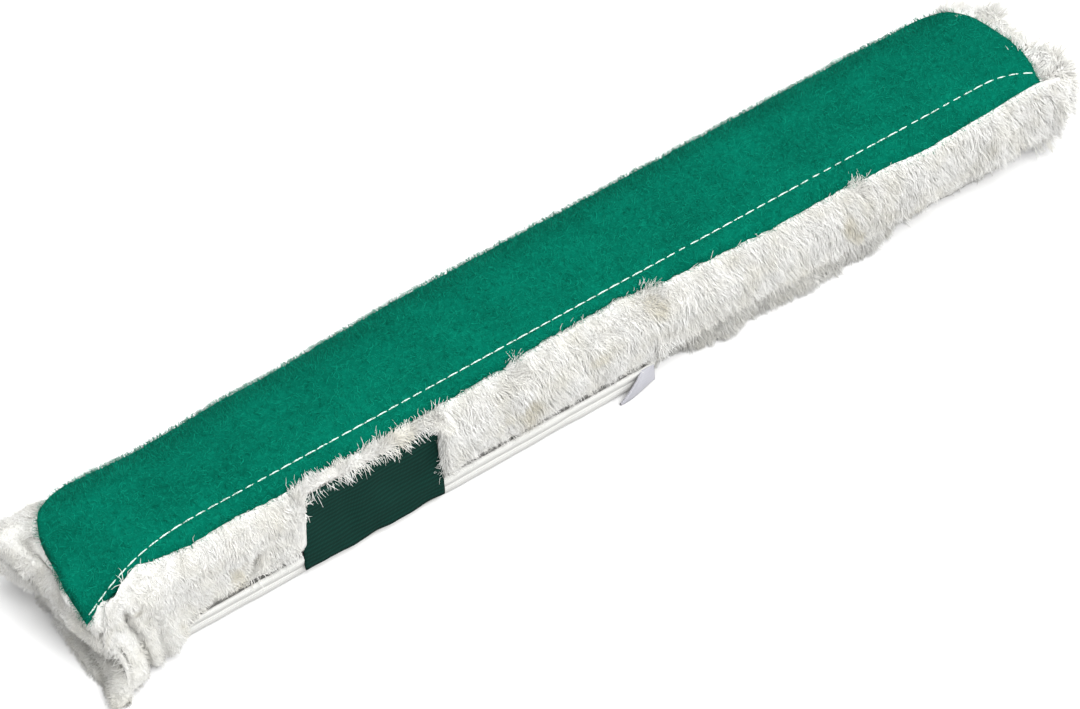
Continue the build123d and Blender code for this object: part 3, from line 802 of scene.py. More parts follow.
@dataclass
class Grower:
    """Grows coats on pieces, each with its own seed, in strips that keep each mesh small."""

    trees: dict[int, FibreTree] = field(default_factory=dict)
    seed: int = 11
    draft: float = 0.4
    most_triangles: float = 175000.0

    def dress(
        self,
        piece: Object,
        coat: Coat,
        finish: Material,
        steer: Steer,
        points: int = 4,
        share: float = 1.0,
        clip: float = 0.05,
    ) -> list[Object]:
        """Grows fibres on a piece.

        Args:
            piece: Closed base mesh, which stays as it is under the fibres.
            coat: Kind of fibre.
            finish: The fibres' material.
            steer: Takes a point in millimetres and its normal, and gives the cover share,
                the way to comb, and the length share there.
            points: Points along each fibre.
            share: Share of the coat's full density.
            clip: Lowest that a fibre may hang, in millimetres.

        Returns:
            One mesh of fibres for each strip.
        """
        mesh = piece.data
        count = len(mesh.vertices)
        cover, comb, reach = np.zeros(count), np.zeros((count, 3)), np.zeros(count)
        for index, vertex in enumerate(mesh.vertices):
            cover[index], comb[index], reach[index] = steer(vertex.co / MM, vertex.normal)
        density = coat.value["Fibres"] * share * 1.0
        edges = self._edges(mesh, cover, density, points)
        places = np.array([vertex.co.x for vertex in mesh.vertices])
        if points not in self.trees:
            self.trees[points] = FibreTree(points)
        coats = []
        for index, (low, high) in enumerate(zip(edges, edges[1:])):
            strip = bpy.data.objects.new(f"{piece.name}_wisps_{index + 1}", mesh.copy())
            bpy.context.scene.collection.objects.link(strip)
            inside = (places >= low) & (places < high)
            store(strip.data, "cover", cover * inside)
            store(strip.data, "comb", comb)
            store(strip.data, "reach", reach)
            self.seed += 1
            settings = coat.value | {
                "Fibres": density, "Seed": self.seed, "Finish": finish, "Floor": clip * MM
            }
            spent = ("cover", "comb", "reach", "root", "grow", "pull", "bow", "sag")
            self.trees[points].apply(strip, settings, spent)
            strip.data.shade_smooth()
            strip.data.calc_loop_triangles()
            log.info("%s has %d triangles", strip.name, len(strip.data.loop_triangles))
            coats.append(strip)
        return coats

    def _edges(
        self, mesh: Mesh, cover: np.ndarray, density: float, points: int
    ) -> list[float]:
        """Where strips of equal growth begin and end along X.

        Args:
            mesh: The base mesh.
            cover: Share of the density at each of its vertices.
            density: Fibres on a square metre.
            points: Points along each fibre.

        Returns:
            The strips' edges in metres, from the lowest X to the highest.
        """
        middles = np.array([face.center.x for face in mesh.polygons])
        weights = np.array(
            [face.area * float(np.mean(cover[list(face.vertices)])) for face in mesh.polygons]
        )
        order = np.argsort(middles)
        grown = np.cumsum(weights[order])
        # A three-sided fibre has six triangles to a span, and two caps
        each = 6 * (points - 1) + 2
        strips = max(1, math.ceil(grown[-1] * density * each / self.most_triangles))
        marks = np.interp(np.linspace(0, grown[-1], strips + 1)[1:-1], grown, middles[order])
        return [-math.inf, *marks, math.inf]


# Sub-assemblies


@dataclass
class ScouringPad:
    """The green pad: flat on top, round over the back, with a free near edge that droops."""

    half_length: float = 168.0
    height: float = 37.0
    thickness: float = 4.4
    edge_thickness: float = 3.2
    back_radius: float = 22.5
    back_centre: Flat = BACK_CENTRE
    curl_start_y: float = -12.0
    reach: float = 9.0
    drop: float = 2.3
    left_curl: tuple[float, float, float] = (42.0, 5.4, 5.2)
    right_curl: tuple[float, float, float] = (20.0, 1.5, 2.4)
    left_trim: tuple[Flat, ...] = (
        (-24, 0), (-15.5, 0), (-7.5, 2), (0, 3.5), (7, 6), (12, 9.5), (16.7, 16), (20, 22),
        (24, 28), (28, 34),
    )
    right_trim: tuple[Flat, ...] = (
        (-24, 2), (-18, 1.5), (-8, 0.5), (0, 1.5), (5.5, 2.5), (13, 5.5), (20, 11), (25, 16),
        (28, 20),
    )
    reach_change: tuple[Flat, ...] = (
        (-168, -0.5), (-147, -1.5), (-133, 0.5), (-120, 0), (-106, 1), (-80, 0.3), (-45, 0),
        (-25, -0.6), (-10, -1.6), (15, -2.3), (27, 0.2), (42, 0.4), (60, 1.8), (70, 2.2),
        (85, 1.8), (110, 2.9), (123, 4.3), (137, 3.6), (150, 3.2), (168, 2.0),
    )
    seam_inset: float = 5.0
    corner_seam_inset: float = 1.6
    step: float = 1.5

    def curl(self, x: float) -> tuple[float, float, float]:
        """How far the near edge reaches out and drops at x, and its share of the full curl."""
        length, reach, drop = self.left_curl if x < 0 else self.right_curl
        share = max(0.0, (abs(x) - self.half_length + length) / length) ** 2.1
        change = self._wander(x)
        return self.reach + reach * share + change, self.drop + drop * share + 0.3 * change, share

    def edge_y(self, x: float) -> float:
        """Where the near edge is at x."""
        return self.curl_start_y - self.curl(x)[0]

    def on_top(self, x: float, from_edge: float) -> tuple[float, float, float, float]:
        """A point of the pad's upper face.

        Args:
            x: Place along the sleeve.
            from_edge: Distance over the pad from its near edge.

        Returns:
            y, z and the outward normal's y and z.
        """
        radius, turn = self._curve(x)
        straight = self.back_centre[0] - self.curl_start_y
        if from_edge < radius * turn:
            angle = turn - from_edge / radius
            normal = (-math.sin(angle), math.cos(angle))
            y = self.curl_start_y + radius * normal[0]
            return y, self.height - radius + radius * normal[1], *normal
        from_edge -= radius * turn
        if from_edge < straight:
            return self.curl_start_y + from_edge, self.height, 0.0, 1.0
        angle = (from_edge - straight) / self.back_radius
        normal = (math.sin(angle), math.cos(angle))
        radius = self.back_radius - 0.9 * smooth_step(0.1, 0.8, angle)
        y, z = (middle + radius * way for middle, way in zip(self.back_centre, normal))
        return y, z, *normal

    def width(self, x: float) -> float:
        """Distance over the pad from its near edge to its rear edge."""
        radius, turn = self._curve(x)
        flat_end = radius * turn + self.back_centre[0] - self.curl_start_y
        return flat_end + self.back_radius * math.pi / 2

    def _curve(self, x: float) -> Flat:
        """Radius of the near edge's curl at x, and the angle that it turns through."""
        reach, drop, _ = self.curl(x)
        radius = (reach**2 + drop**2) / (2 * drop)
        return radius, math.asin(reach / radius)

    def seam_from_edge(self, x: float) -> float:
        """How far in from the near edge the seam runs at x, straight whatever the edge does."""
        share = self.curl(x)[2]
        inset = self.seam_inset + (self.corner_seam_inset - self.seam_inset) * share
        return max(1.2, inset + self._wander(x))

    def _wander(self, x: float) -> float:
        """How far the edge strays outwards at x from its true line."""
        wave = 0.45 * ripple(x, 0, 0, 17, 3.1) + 0.3 * ripple(x, 0, 0, 5, 1.7)
        return between(self.reach_change, x) + wave

    def trimmed(self, x: float, y: float) -> float:
        """x drawn in along the two ends, which are trimmed round at the back."""
        setback = between(self.left_trim if x < 0 else self.right_trim, y)
        end_share = max(0.0, (abs(x) - self.half_length + 60) / 60)
        return x - math.copysign(setback * end_share, x)

    def ring(self, x: float) -> list[Point]:
        """The pad's closed section at x, with its seam pressed in and its faces rough."""
        width, seam = self.width(x), self.seam_from_edge(x)
        columns = round(width / self.step)
        top, under = [], []
        for index in range(columns + 1):
            from_edge = width * index / columns
            y, z, ny, nz = self.on_top(x, from_edge)
            press = 0.9 * bell(from_edge - seam, 1.5)
            rough = 0.2 * ripple(x, y, z, 1.9, 5.0) + 0.3 * ripple(x, y, z, 9.0, 2.0)
            lift = rough - press
            full = smooth_step(0, 9, from_edge)
            thick = self.edge_thickness + (self.thickness - self.edge_thickness) * full
            round_off = 0.7 * (math.exp(-from_edge / 0.8) + math.exp(-(width - from_edge) / 0.8))
            high, low = lift - round_off, round_off - thick
            place = self.trimmed(x, y)
            z -= sagged(place, y)
            top.append((place, y + ny * high, z + nz * high))
            under.append((place, y + ny * low, z + nz * low))
        near, far = self._lip(top[0], under[0], -1), self._lip(top[-1], under[-1], 1)
        return top + far + under[::-1] + near[::-1]

    def _lip(self, high: Point, low: Point, side: int) -> list[Point]:
        """Points that round an edge between the two faces, ragged along X."""
        points = []
        span = (high[1] - low[1], high[2] - low[2])
        size = math.hypot(*span)
        normal = (span[1] / size * side, -span[0] / size * side)
        for share in (0.25, 0.5, 0.75):
            x = high[0] + (low[0] - high[0]) * share
            ragged = 0.7 * ripple(x, side * 40, share * 9, 1.3, 8.0)
            bulge = 0.75 * math.sin(math.pi * share) + ragged
            y = high[1] - span[0] * share + normal[0] * bulge
            z = high[2] - span[1] * share + normal[1] * bulge
            points.append((x, y, z))
        return points

    def build(self, grower: Grower, finish: NonwovenFinish) -> Object:
        """Lofts the pad, closes its ends and grows its fibres.

        Args:
            grower: Grows the loose fibres.
            finish: The nonwoven's colours.

        Returns:
            The pad.
        """
        stations = round(2 * self.half_length / self.step)
        columns = round(self.width(0) / self.step)
        rings = []
        for i in range(stations + 1):
            x = -self.half_length + 2 * self.half_length * (i / stations)
            rings.append(self._resized(self.ring(x), columns))
        size = len(rings[0])
        points = [point for ring in rings for point in ring]
        faces = quads(stations, size, closed=True)
        half = columns + 1
        for i, base in ((0, 0), (stations, stations * size)):
            under = [base + half + 3 + columns - j for j in range(half)]
            for j in range(columns):
                quad = (base + j, base + j + 1, under[j + 1], under[j])
                faces.append(quad if i else quad[::-1])
            faces.append([base + columns, *range(base + half, base + half + 3), under[columns]])
            faces.append([under[0], *range(base + size - 3, base + size), base])
        pad = make_piece("scouring_nonwoven", points, faces, finish.material())
        outward(pad)
        loose = NonwovenFinish("loose_nylon_fibre", pale="#129a7e", fibre=True).material()
        for fuzz in grower.dress(pad, Coat.SCOUR, loose, self._steer):
            settle(fuzz, "sleeve", "scouring_nonwoven")
        return settle(pad, "sleeve", "scouring_nonwoven", "scouring_pad")

    def _resized(self, ring: list[Point], columns: int) -> list[Point]:
        """The ring with a set number of columns on each face, so that rings join."""
        count = (len(ring) - 6) // 2
        top, far = ring[:count], ring[count : count + 3]
        under, near = ring[count + 3 : 2 * count + 3], ring[2 * count + 3 :]

        def spread(points: list[Point]) -> list[Point]:
            """Evenly resampled points of one face."""
            source = np.array(points)
            old = np.linspace(0, 1, len(source))
            new = np.linspace(0, 1, columns + 1)
            return [
                tuple(row)
                for row in np.stack([np.interp(new, old, source[:, k]) for k in range(3)], 1)
            ]

        return spread(top) + far + spread(under) + near

    def _steer(self, point: Vector, normal: Vector) -> Growth:
        """Fibres lie nearly flat, and stand out more at the edges."""
        hidden = normal.z < -0.3 or (normal.y < -0.5 and point.z < 30)
        way = Vector([ripple(*point, 2.5, seed) for seed in (11.0, 13.0, 17.0)])
        flat = (way - normal * way.dot(normal)).normalized() * 3.0
        edge = point.y < self.edge_y(point.x) + 1.2 or abs(point.x) > self.half_length - 2
        if edge and normal.z < 0.85:
            return 4.0, flat * 0.25, 0.6
        if normal.y > 0.25:
            return 2.2, flat * 0.3, 0.65
        return (0.0 if hidden else 1.0), flat, 1.0

    def beyond(self, point: Vector) -> float:
        """How far a point is past the pad's trimmed end; negative under the pad."""
        trim = between(self.left_trim if point.x < 0 else self.right_trim, point.y)
        return abs(point.x) - self.half_length + trim


@dataclass
class PlushBody:
    """One stretch of white pile: a lumpy closed body under a coat of wisps."""

    name: str
    body: str
    nodes: tuple[str, ...]
    voxel: float = 0.9
    sink: float = 2.0
    lump: float = 0.6
    lump_size: float = 9.0
    fold: float = 0.5
    coat: Coat = Coat.PLUSH
    share: float = 1.0
    points: int = 4
    clip: float = 0.05
    join_normal: float = 0.7
    end_from: float = 174.0
    floor_gap: float = 0.4

    def base(self, finish: Material) -> Object:
        """Remeshes the solid, sinks its face under the coat and makes it lumpy."""
        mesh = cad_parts[self.nodes[0]].data.copy()
        piece = bpy.data.objects.new(self.name, mesh)
        bpy.context.scene.collection.objects.link(piece)
        outward(piece)
        remesh = piece.modifiers.new("remesh", "REMESH")
        remesh.mode = "VOXEL"
        remesh.voxel_size = self.voxel * MM
        relax = piece.modifiers.new("relax", "SMOOTH")
        relax.factor, relax.iterations = 0.6, 8
        bake_modifiers(piece)
        mesh = piece.data
        mesh.materials.clear()
        mesh.materials.append(finish)
        moved = []
        for vertex in mesh.vertices:
            point, normal = vertex.co / MM, vertex.normal
            lump = ripple(*point, self.lump_size, 4.0) + 0.5 * ripple(*point, 3.4, 9.0)
            strands = 0.35 * ripple(point.x * 2.6, point.y * 2.6, point.z, 3.0, 6.0)
            folds = self.fold * crease(*point, 2.2 * self.lump_size, 14.0)
            # A face square to X is a join between two stretches, and only an end's may move
            join = abs(normal.x) >= self.join_normal and abs(point.x) <= self.end_from
            outer = 0.0 if join else self.loose(point)
            offset = normal * ((self.lump * lump + strands - folds - self.sink) * outer)
            spot = slumped(point + offset + self.swell(point, normal))
            spot.z = max(spot.z, self.floor_gap)
            moved.extend(spot * MM)
        # Painted shade: how grey each point is painted, from its depth in a fold
        deep = [self.depth(vertex.co / MM) for vertex in mesh.vertices]
        store(mesh, "deep", np.array(deep))
        mesh.vertices.foreach_set("co", moved)
        mesh.update()
        mesh.shade_smooth()
        return piece

    def depth(self, point: Vector) -> float:
        """How deep in a fold a point of the straight pile lies, from 0 to 1, for painted shade."""
        return 0.0

    def loose(self, point: Vector) -> float:
        """Share of the sinking and the lumps at a point; all of them on a plain stretch."""
        return 1.0

    def swell(self, point: Vector, normal: Vector) -> Vector:
        """Extra offset of the base at a point; none on a plain stretch."""
        return Vector()

    def steer(self, point: Vector, normal: Vector) -> Growth:
        """Cover, comb and reach at a point; subclasses give each stretch its own lie."""
        return 1.0, Vector((0, 0, -0.3)), 1.0

    def build(self, grower: Grower, base: Material, fibre: Material) -> Object:
        """Makes the base and grows its pile.

        Args:
            grower: Grows the fibres.
            base: Finish of the body under the fibres.
            fibre: Finish of the fibres.

        Returns:
            The finished piece.
        """
        piece = self.base(base)
        for wisps in grower.dress(
            piece, self.coat, fibre, self.steer, self.points, self.share, self.clip
        ):
            settle(wisps, self.body, "plush")
        return settle(piece, self.body, "plush", *self.nodes)


def lie(point: Vector) -> Vector:
    """Slow wander in the way the pile lies, so that it parts and swirls."""
    x = ripple(*point, 13, 21.0) + 0.7 * ripple(*point, 5, 23.0)
    z = ripple(*point, 13, 27.0) + 0.7 * ripple(*point, 5, 29.0)
    return Vector((x, ripple(*point, 13, 25.0), z))


@dataclass
class FrontPlush(PlushBody):
    """Pile on the front wall: up against the pad's edge, and clean above the slit."""

    pad: ScouringPad = field(default_factory=ScouringPad)
    wisps: tuple[tuple[float, float], ...] = ((-76, 18), (-23, 4), (24, 4), (97, 4))
    label: tuple[float, float] = (-99.3, -51.3)
    gap: tuple[float, float] = (-50.5, 22.5)
    tuck: tuple[Flat, ...] = ((-137, 9), (-128, 9.6), (-121, 11), (-115.5, 14.5), (-113.5, 19))

    def crown(self, point: Vector) -> float:
        """1 where the pile turns over the top of the wall, 0 on its face."""
        return smooth_step(26.5, 30.5, point.z) * smooth_step(-27.5, -23.5, point.y)

    def by_label(self, x: float) -> bool:
        """Whether a place is behind the label or within a millimetre of its sides."""
        return self.label[0] - 1 < x < self.label[1] + 1

    def on_label(self, point: Vector) -> bool:
        """Whether a point is in the bed that the label lies in."""
        return self.label[0] < point.x < self.label[1] and point.z < 29.9

    def loose(self, point: Vector) -> float:
        """Holds the crown and the slit's edge, and keeps the pile behind the label flat."""
        if self.by_label(point.x):
            return 0.0
        slit = smooth_step(17, 13.5, point.z) if point.x > -128 else 0.0
        return (1 - 0.8 * self.crown(point)) * (1 - 0.75 * slit)

    def swell(self, point: Vector, normal: Vector) -> Vector:
        """Shapes the wall: crown up to the pad, foot over the hem, clean edge at the slit."""
        x, y, z = point
        crown = self.crown(point)
        corner = 1.2 * smooth_step(140, 152, -x)
        shift = Vector((0, self.pad.edge_y(x) + 1.4 + 22.3, 2.6 + corner)) * crown
        if self.by_label(x):
            ridge = smooth_step(27.8, 29.0, z) * (1 - 0.5 * smooth_step(29.4, 31, z))
            shift.y += 0.5 * smooth_step(28.6, 27.8, z) - 2.6 * ridge
        if abs(normal.x) > self.join_normal:
            shift.x += 1.6 * normal.x
        foot = smooth_step(128, 147, -x)
        edge = 13.6 if self.body == "flap" and self.gap[0] < x < self.gap[1] + 1 else 9.4
        at_slit = smooth_step(edge + 6, edge, z) * (1 - foot)
        beside = smooth_step(22, 27, x)
        shift += Vector((0, 1.7 + 1.9 * beside, 9.3 + 1.2 * beside - edge)) * at_slit
        narrow = smooth_step(108, 120, x) * smooth_step(18, 9.4, z)
        shift += Vector((0, 2.2, 3.4)) * narrow
        far = smooth_step(150, 168, -x)
        shift += Vector((0, -5.0 - 3.0 * far, -7.6)) * (foot * smooth_step(16, 9.5, z))
        shift.y += 3.0 * self._tucked(x, z) + 3.0 * self._folded(x, z)
        shift.y += 1.4 * ripple(x, z, 0, 8, 19.0) * smooth_step(120, 140, -x)
        return shift

    def _folded(self, x: float, z: float) -> float:
        """1 in the deep fold that falls from the pad's corner, 0 away from it."""
        gap = x + 163 - 0.5 * (27 - z) - 1.2 * ripple(z, 0, 0, 7, 17.0)
        other = x + 146 + 0.25 * (16 - z) - 1.0 * ripple(z, 0, 0, 6, 18.0)
        deep = bell(gap, 1.9) * smooth_step(29, 24, z)
        return max(deep, 0.6 * bell(other, 1.6) * smooth_step(19, 13, z))

    def depth(self, point: Vector) -> float:
        """Painted shade deep in the folds at the left, and at the foot."""
        foot = smooth_step(132, 155, -point.x) * smooth_step(20, 8, point.z)
        folds = max(self._tucked(point.x, point.z), self._folded(point.x, point.z))
        return min(1.0, 0.55 * folds + 0.4 * foot)

    def _tucked(self, x: float, z: float) -> float:
        """1 in the hooked fold at the left end of the slit, 0 away from it."""
        return bell(self._tuck_gap(x, z), 1.5)

    def _tuck_gap(self, x: float, z: float) -> float:
        """Distance from the line of the hooked fold."""
        if not -142 < x < -104:
            return 9.0
        return min(
            (Vector((x, z)) - Vector(a).lerp(Vector(b), share)).length
            for a, b in zip(self.tuck, self.tuck[1:])
            for share in (0.0, 0.33, 0.67, 1.0)
        )

    def steer(self, point: Vector, normal: Vector) -> Growth:
        """Hidden faces and the label's bed stay bare, and the pile is short at the slit."""
        x, y, z = point
        wisp = max(math.exp(-(((x - at) / wide) ** 4)) for at, wide in self.wisps)
        under_pad = z > 30.5 and y > self.pad.edge_y(x) + (0.6 if wisp > 0.3 else -0.4)
        recess = -101.2 < x < -97 and z < 30.5
        if normal.y > 0.3 or y > -18.6 or under_pad or recess or self.on_label(point):
            return BARE
        up = smooth_step(28, 32, z)
        drawn_up = 1.4 * smooth_step(22, 27, x)
        slit = smooth_step(15.5 + drawn_up, 11.5 + drawn_up, z) if x > -116 else 0.0
        comb = lie(point) * (0.9 - 0.4 * up) * (1 - 0.6 * slit)
        comb += Vector((0, -1.9 * up, -0.9 + 0.5 * up + 0.9 * slit))
        comb += Vector((0, 2.3, 1.0)) * (wisp * up)
        if self.by_label(x):
            comb = lie(point) * 2.0 + Vector((0.3, 0.2, -0.8 + 1.9 * smooth_step(30.3, 32.4, z)))
        if slit > 0.97 or (slit > 0.3 and normal.z < -0.5):
            return BARE
        calm = bell(self._tuck_gap(x, z), 4.5)
        soft = 1 - 0.35 * smooth_step(98, 102, -x) - 0.35 * max(smooth_step(125, 148, -x), calm)
        hooked = 1 - max(self._tucked(x, z), self._folded(x, z))
        reach = (1.0 - 0.55 * up + 0.45 * wisp * up) * (1 - 0.75 * slit) * soft
        if self.by_label(x):
            return 1.6, comb, 0.7 + 0.4 * ripple(x, y, z, 3.5, 27.0)
        return hooked, comb, reach


@dataclass
class EndPlush(PlushBody):
    """Pile over one end, which hangs in loose folds."""

    side: int = -1
    tufts: float = 0.0
    drapes: float = 0.0
    pad: ScouringPad = field(default_factory=ScouringPad)

    def swell(self, point: Vector, normal: Vector) -> Vector:
        """Closes the joins round the cloth panel, and gives the foot, folds and tufts."""
        x, y, z = point
        beside = y < -22.4 or y > 20.6 or z < 7.1 or z > 29.6
        tuft = self.tufts * (max(0.0, ripple(x, y, z, 4.2, 33.0)) * 3.6 - 0.4)
        shift = normal * (tuft + self.drapes * (self._draped(point) - 0.7))
        if normal.x * self.side < -0.5:
            spare = self.pad.beyond(point) if self.side > 0 and z > 26 else 0.0
            inner = min(5.5, max(1.8, spare - 1.0))
            shift = Vector((-inner * self.side, 0, 0)) if beside else Vector()
        if self.side < 0:
            shift += normal * 1.5 * (smooth_step(2, 12, y) * smooth_step(20, 27, z))
            shift.y -= 12.5 * smooth_step(12, 1, z) * smooth_step(-8, -24, y)
            shift.x += 1.5 * smooth_step(-16, -24, y)
        else:
            shift += Vector((0, 4.5, 3.0)) * (smooth_step(15, 3, z) * smooth_step(-10, -24, y))
        return shift

    def _draped(self, point: Vector) -> float:
        """1 along the rounded backs of the slanting folds, 0 in the creases between them."""
        warp = 0.9 * ripple(*point, 15, 45.0)
        return abs(math.sin(math.pi * (point.z - 0.4 * point.y) / 10.5 + warp)) ** 0.6

    def depth(self, point: Vector) -> float:
        """Painted shade deep in the creases of the draped end, and at its foot."""
        if not self.drapes:
            return 0.0
        foot = smooth_step(18, 5, point.z) * smooth_step(0, -20, point.y)
        return min(1.0, 0.7 * smooth_step(0.75, 0.3, self._draped(point)) + 0.5 * foot)

    def steer(self, point: Vector, normal: Vector) -> Growth:
        """The face against the cloth stays bare, and the pad's edge stays clear."""
        if normal.x * self.side < -0.5 or (point.z > 29 and self.pad.beyond(point) < 1.2):
            return BARE
        comb = lie(point) * 0.9 + Vector((0.2 * self.side, 0, -0.5))
        if self.side > 0:
            comb = lie(point) * 0.7 + Vector((0.5, 0, -0.1))
        return 1.0, comb, 1.0


@dataclass
class BottomPlush(PlushBody):
    """Pile underneath and up the lower back, pressed flat where the sleeve rests."""

    def steer(self, point: Vector, normal: Vector) -> Growth:
        """Bare against the cloth, short underneath and full up the back."""
        inner = point.y < 21 and normal.z > 0.4
        if inner or abs(normal.x) > 0.8 or (normal.y < -0.6 and point.y < -12):
            return BARE
        under = smooth_step(-0.3, -0.9, normal.z) if normal.z < -0.3 else 0.0
        comb = lie(point) * 0.8 + Vector((0, 0.2, -0.3 + 0.3 * under))
        return 1.0 - 0.35 * under, comb, 1.0 - 0.2 * under


@dataclass
class LipPlush(PlushBody):
    """Fringe of pile in front of the lower lip, which hangs in shallow scallops."""

    back: tuple[Flat, ...] = (
        (22, 4.2), (37, 3.0), (50, -1.2), (64, 1.6), (78, 0.2), (91, 0.6), (105, 0.8),
        (118, 5.6), (132, 7.4), (145, 6.4), (172, 6.5),
    )

    def swell(self, point: Vector, normal: Vector) -> Vector:
        """Scallops the fringe, and draws its face back to where the photograph has it."""
        x, y, z = point
        scallop = ripple(x, 0, 0, 9, 35.0) + 0.5 * ripple(x, 0, 0, 4, 37.0)
        reach = between(self.back, x) * (1 - 0.4 * smooth_step(4, 9, z))
        reach += 1.2 * scallop * smooth_step(8, 3, z)
        return Vector((0, reach, 3.0 * smooth_step(3, 9, z))) * smooth_step(-17.5, -23, y)

    def depth(self, point: Vector) -> float:
        """Painted shade: greyer, as under the flap that overhangs it."""
        return 0.4

    def steer(self, point: Vector, normal: Vector) -> Growth:
        """Hangs down in scallops."""
        if normal.y > 0.5:
            return BARE
        comb = lie(point) * 0.7 + Vector((0, 0.1, -0.9))
        return 1.0, comb, 0.6 + 0.25 * ripple(point.x, 0, 0, 8, 31.0)


@dataclass
class BedPlush(PlushBody):
    """Pressed pile under the pad, which shows only at the pad's trimmed rear corners."""

    pad: ScouringPad = field(default_factory=ScouringPad)

    def swell(self, point: Vector, normal: Vector) -> Vector:
        """Keeps it clear of the pad that presses it."""
        full = 1.9 * smooth_step(-140, -152, point.x) * smooth_step(-4, 8, point.y)
        out = self.pad.beyond(point)
        return normal * (full * smooth_step(1.5, 6.0, out) - 1.6 * smooth_step(2.5, 0.0, out))

    def steer(self, point: Vector, normal: Vector) -> Growth:
        """Grows only beyond the pad's ends."""
        comb = lie(point) * 0.5 + Vector((math.copysign(1.3, point.x), 0.2, -0.1))
        return (1.5 if self.pad.beyond(point) > 1.8 else 0.0), comb, 0.8


@dataclass
class Sheet:
    """A thin cloth that follows a line in the plane square to X, with soft wrinkles."""

    name: str
    body: str
    profile: list[Flat]
    start: float
    end: float
    thickness: float
    slot: str
    nodes: tuple[str, ...]
    step: float = 3.0
    wrinkle: float = 0.15
    skip: Callable[[float, float, float], bool] | None = None

    def build(self, material: Material) -> Object:
        """Makes the sheet's middle face, gives it thickness and bakes it.

        Args:
            material: Its cloth.

        Returns:
            The finished sheet.
        """
        columns = max(2, round((self.end - self.start) / self.step))
        points: list[Point] = []
        for i in range(columns + 1):
            x = self.start + (self.end - self.start) * i / columns
            for index, (y, z) in enumerate(self.profile):
                before = self.profile[max(0, index - 1)]
                after = self.profile[min(len(self.profile) - 1, index + 1)]
                span = math.dist(before, after)
                normal = ((before[1] - after[1]) / span, (after[0] - before[0]) / span)
                waves = ripple(x, y, z, 14, 41.0) + 0.5 * ripple(x, y, z, 5, 43.0)
                lift = self.wrinkle * waves
                spot = Vector((x, y + normal[0] * lift, z + normal[1] * lift))
                points.append(tuple(slumped(spot)))
        faces = []
        for face in quads(columns, len(self.profile)):
            middle = [(a + b) / 2 for a, b in zip(points[face[0]], points[face[2]])]
            if not (self.skip and self.skip(*middle)):
                faces.append(face)
        piece = make_piece(self.name, points, faces, material)
        shape = bmesh.new()
        shape.from_mesh(piece.data)
        loose = [v for v in shape.verts if not v.link_faces]
        bmesh.ops.delete(shape, geom=loose, context="VERTS")
        shape.to_mesh(piece.data)
        shape.free()
        thicken(piece, self.thickness)
        return settle(piece, self.body, self.slot, *self.nodes)


@dataclass
class UnitTree(NamedTree):
    """The Geometry Nodes tree that sets a small unit at every vertex of a mesh.

    The mesh's attributes along and away turn each unit's X and Z.
    """

    def __post_init__(self) -> None:
        """Builds the tree once."""
        units = {
            "Points": "@given.Geometry", "Instance": "@unit.Geometry", "Rotation": "@turn",
            "Scale": "@wobble.1",
        }
        wobble = {2: "@least", 3: "@most", "Seed": "@given.Seed"}
        nodes = (
            Node("given", "NodeGroupInput", {}),
            Node("away", READ, {"Name": "away"}, VECTOR),
            Node("along", READ, {"Name": "along"}, VECTOR),
            Node(
                "turn", "FunctionNodeAxesToRotation",
                {"Primary Axis": "@away", "Secondary Axis": "@along"},
                {"primary_axis": "Z", "secondary_axis": "X"},
            ),
            Node("least", MATH, {0: 1.0, 1: "@given.Spread"}, SUBTRACT),
            Node("most", MATH, {0: 1.0, 1: "@given.Spread"}, ADD),
            Node("wobble", RANDOM, wobble, NUMBER),
            Node("unit", "GeometryNodeObjectInfo", {"Object": "@given.Unit"}),
            Node("placed", "GeometryNodeInstanceOnPoints", units),
            Node("loose", REALIZE, {"Geometry": "@placed"}),
            Node("finished", SET_MATERIAL, {"Geometry": "@loose", "Material": "@given.Finish"}),
            Node("result", "NodeGroupOutput", {"Geometry": "@finished"}),
        )
        inputs = [
            (name, kind, None)
            for name, kind in (
                ("Unit", "Object"), ("Spread", "Float"), ("Seed", "Int"), ("Finish", "Material"),
            )
        ]
        self.fill("set_units", inputs, nodes)

    def place(
        self,
        name: str,
        unit: Object,
        places: Sequence[Place],
        finish: Material,
        spread: float,
    ) -> Object:
        """Sets units at places and leaves them as one plain mesh.

        Args:
            name: Name of the piece.
            unit: The small mesh, which is removed afterwards.
            places: Spot in millimetres, X direction and Z direction of each unit.
            finish: Material of all units.
            spread: How much their sizes differ, as a share.

        Returns:
            The piece.
        """
        spots, along, away = zip(*places)
        piece = make_piece(name, spots, [], finish)
        store(piece.data, "along", np.array(along, dtype=float))
        store(piece.data, "away", np.array(away, dtype=float))
        values = {"Unit": unit, "Spread": spread, "Seed": 3, "Finish": finish}
        self.apply(piece, values, ("along", "away"))
        bpy.data.objects.remove(unit)
        return piece


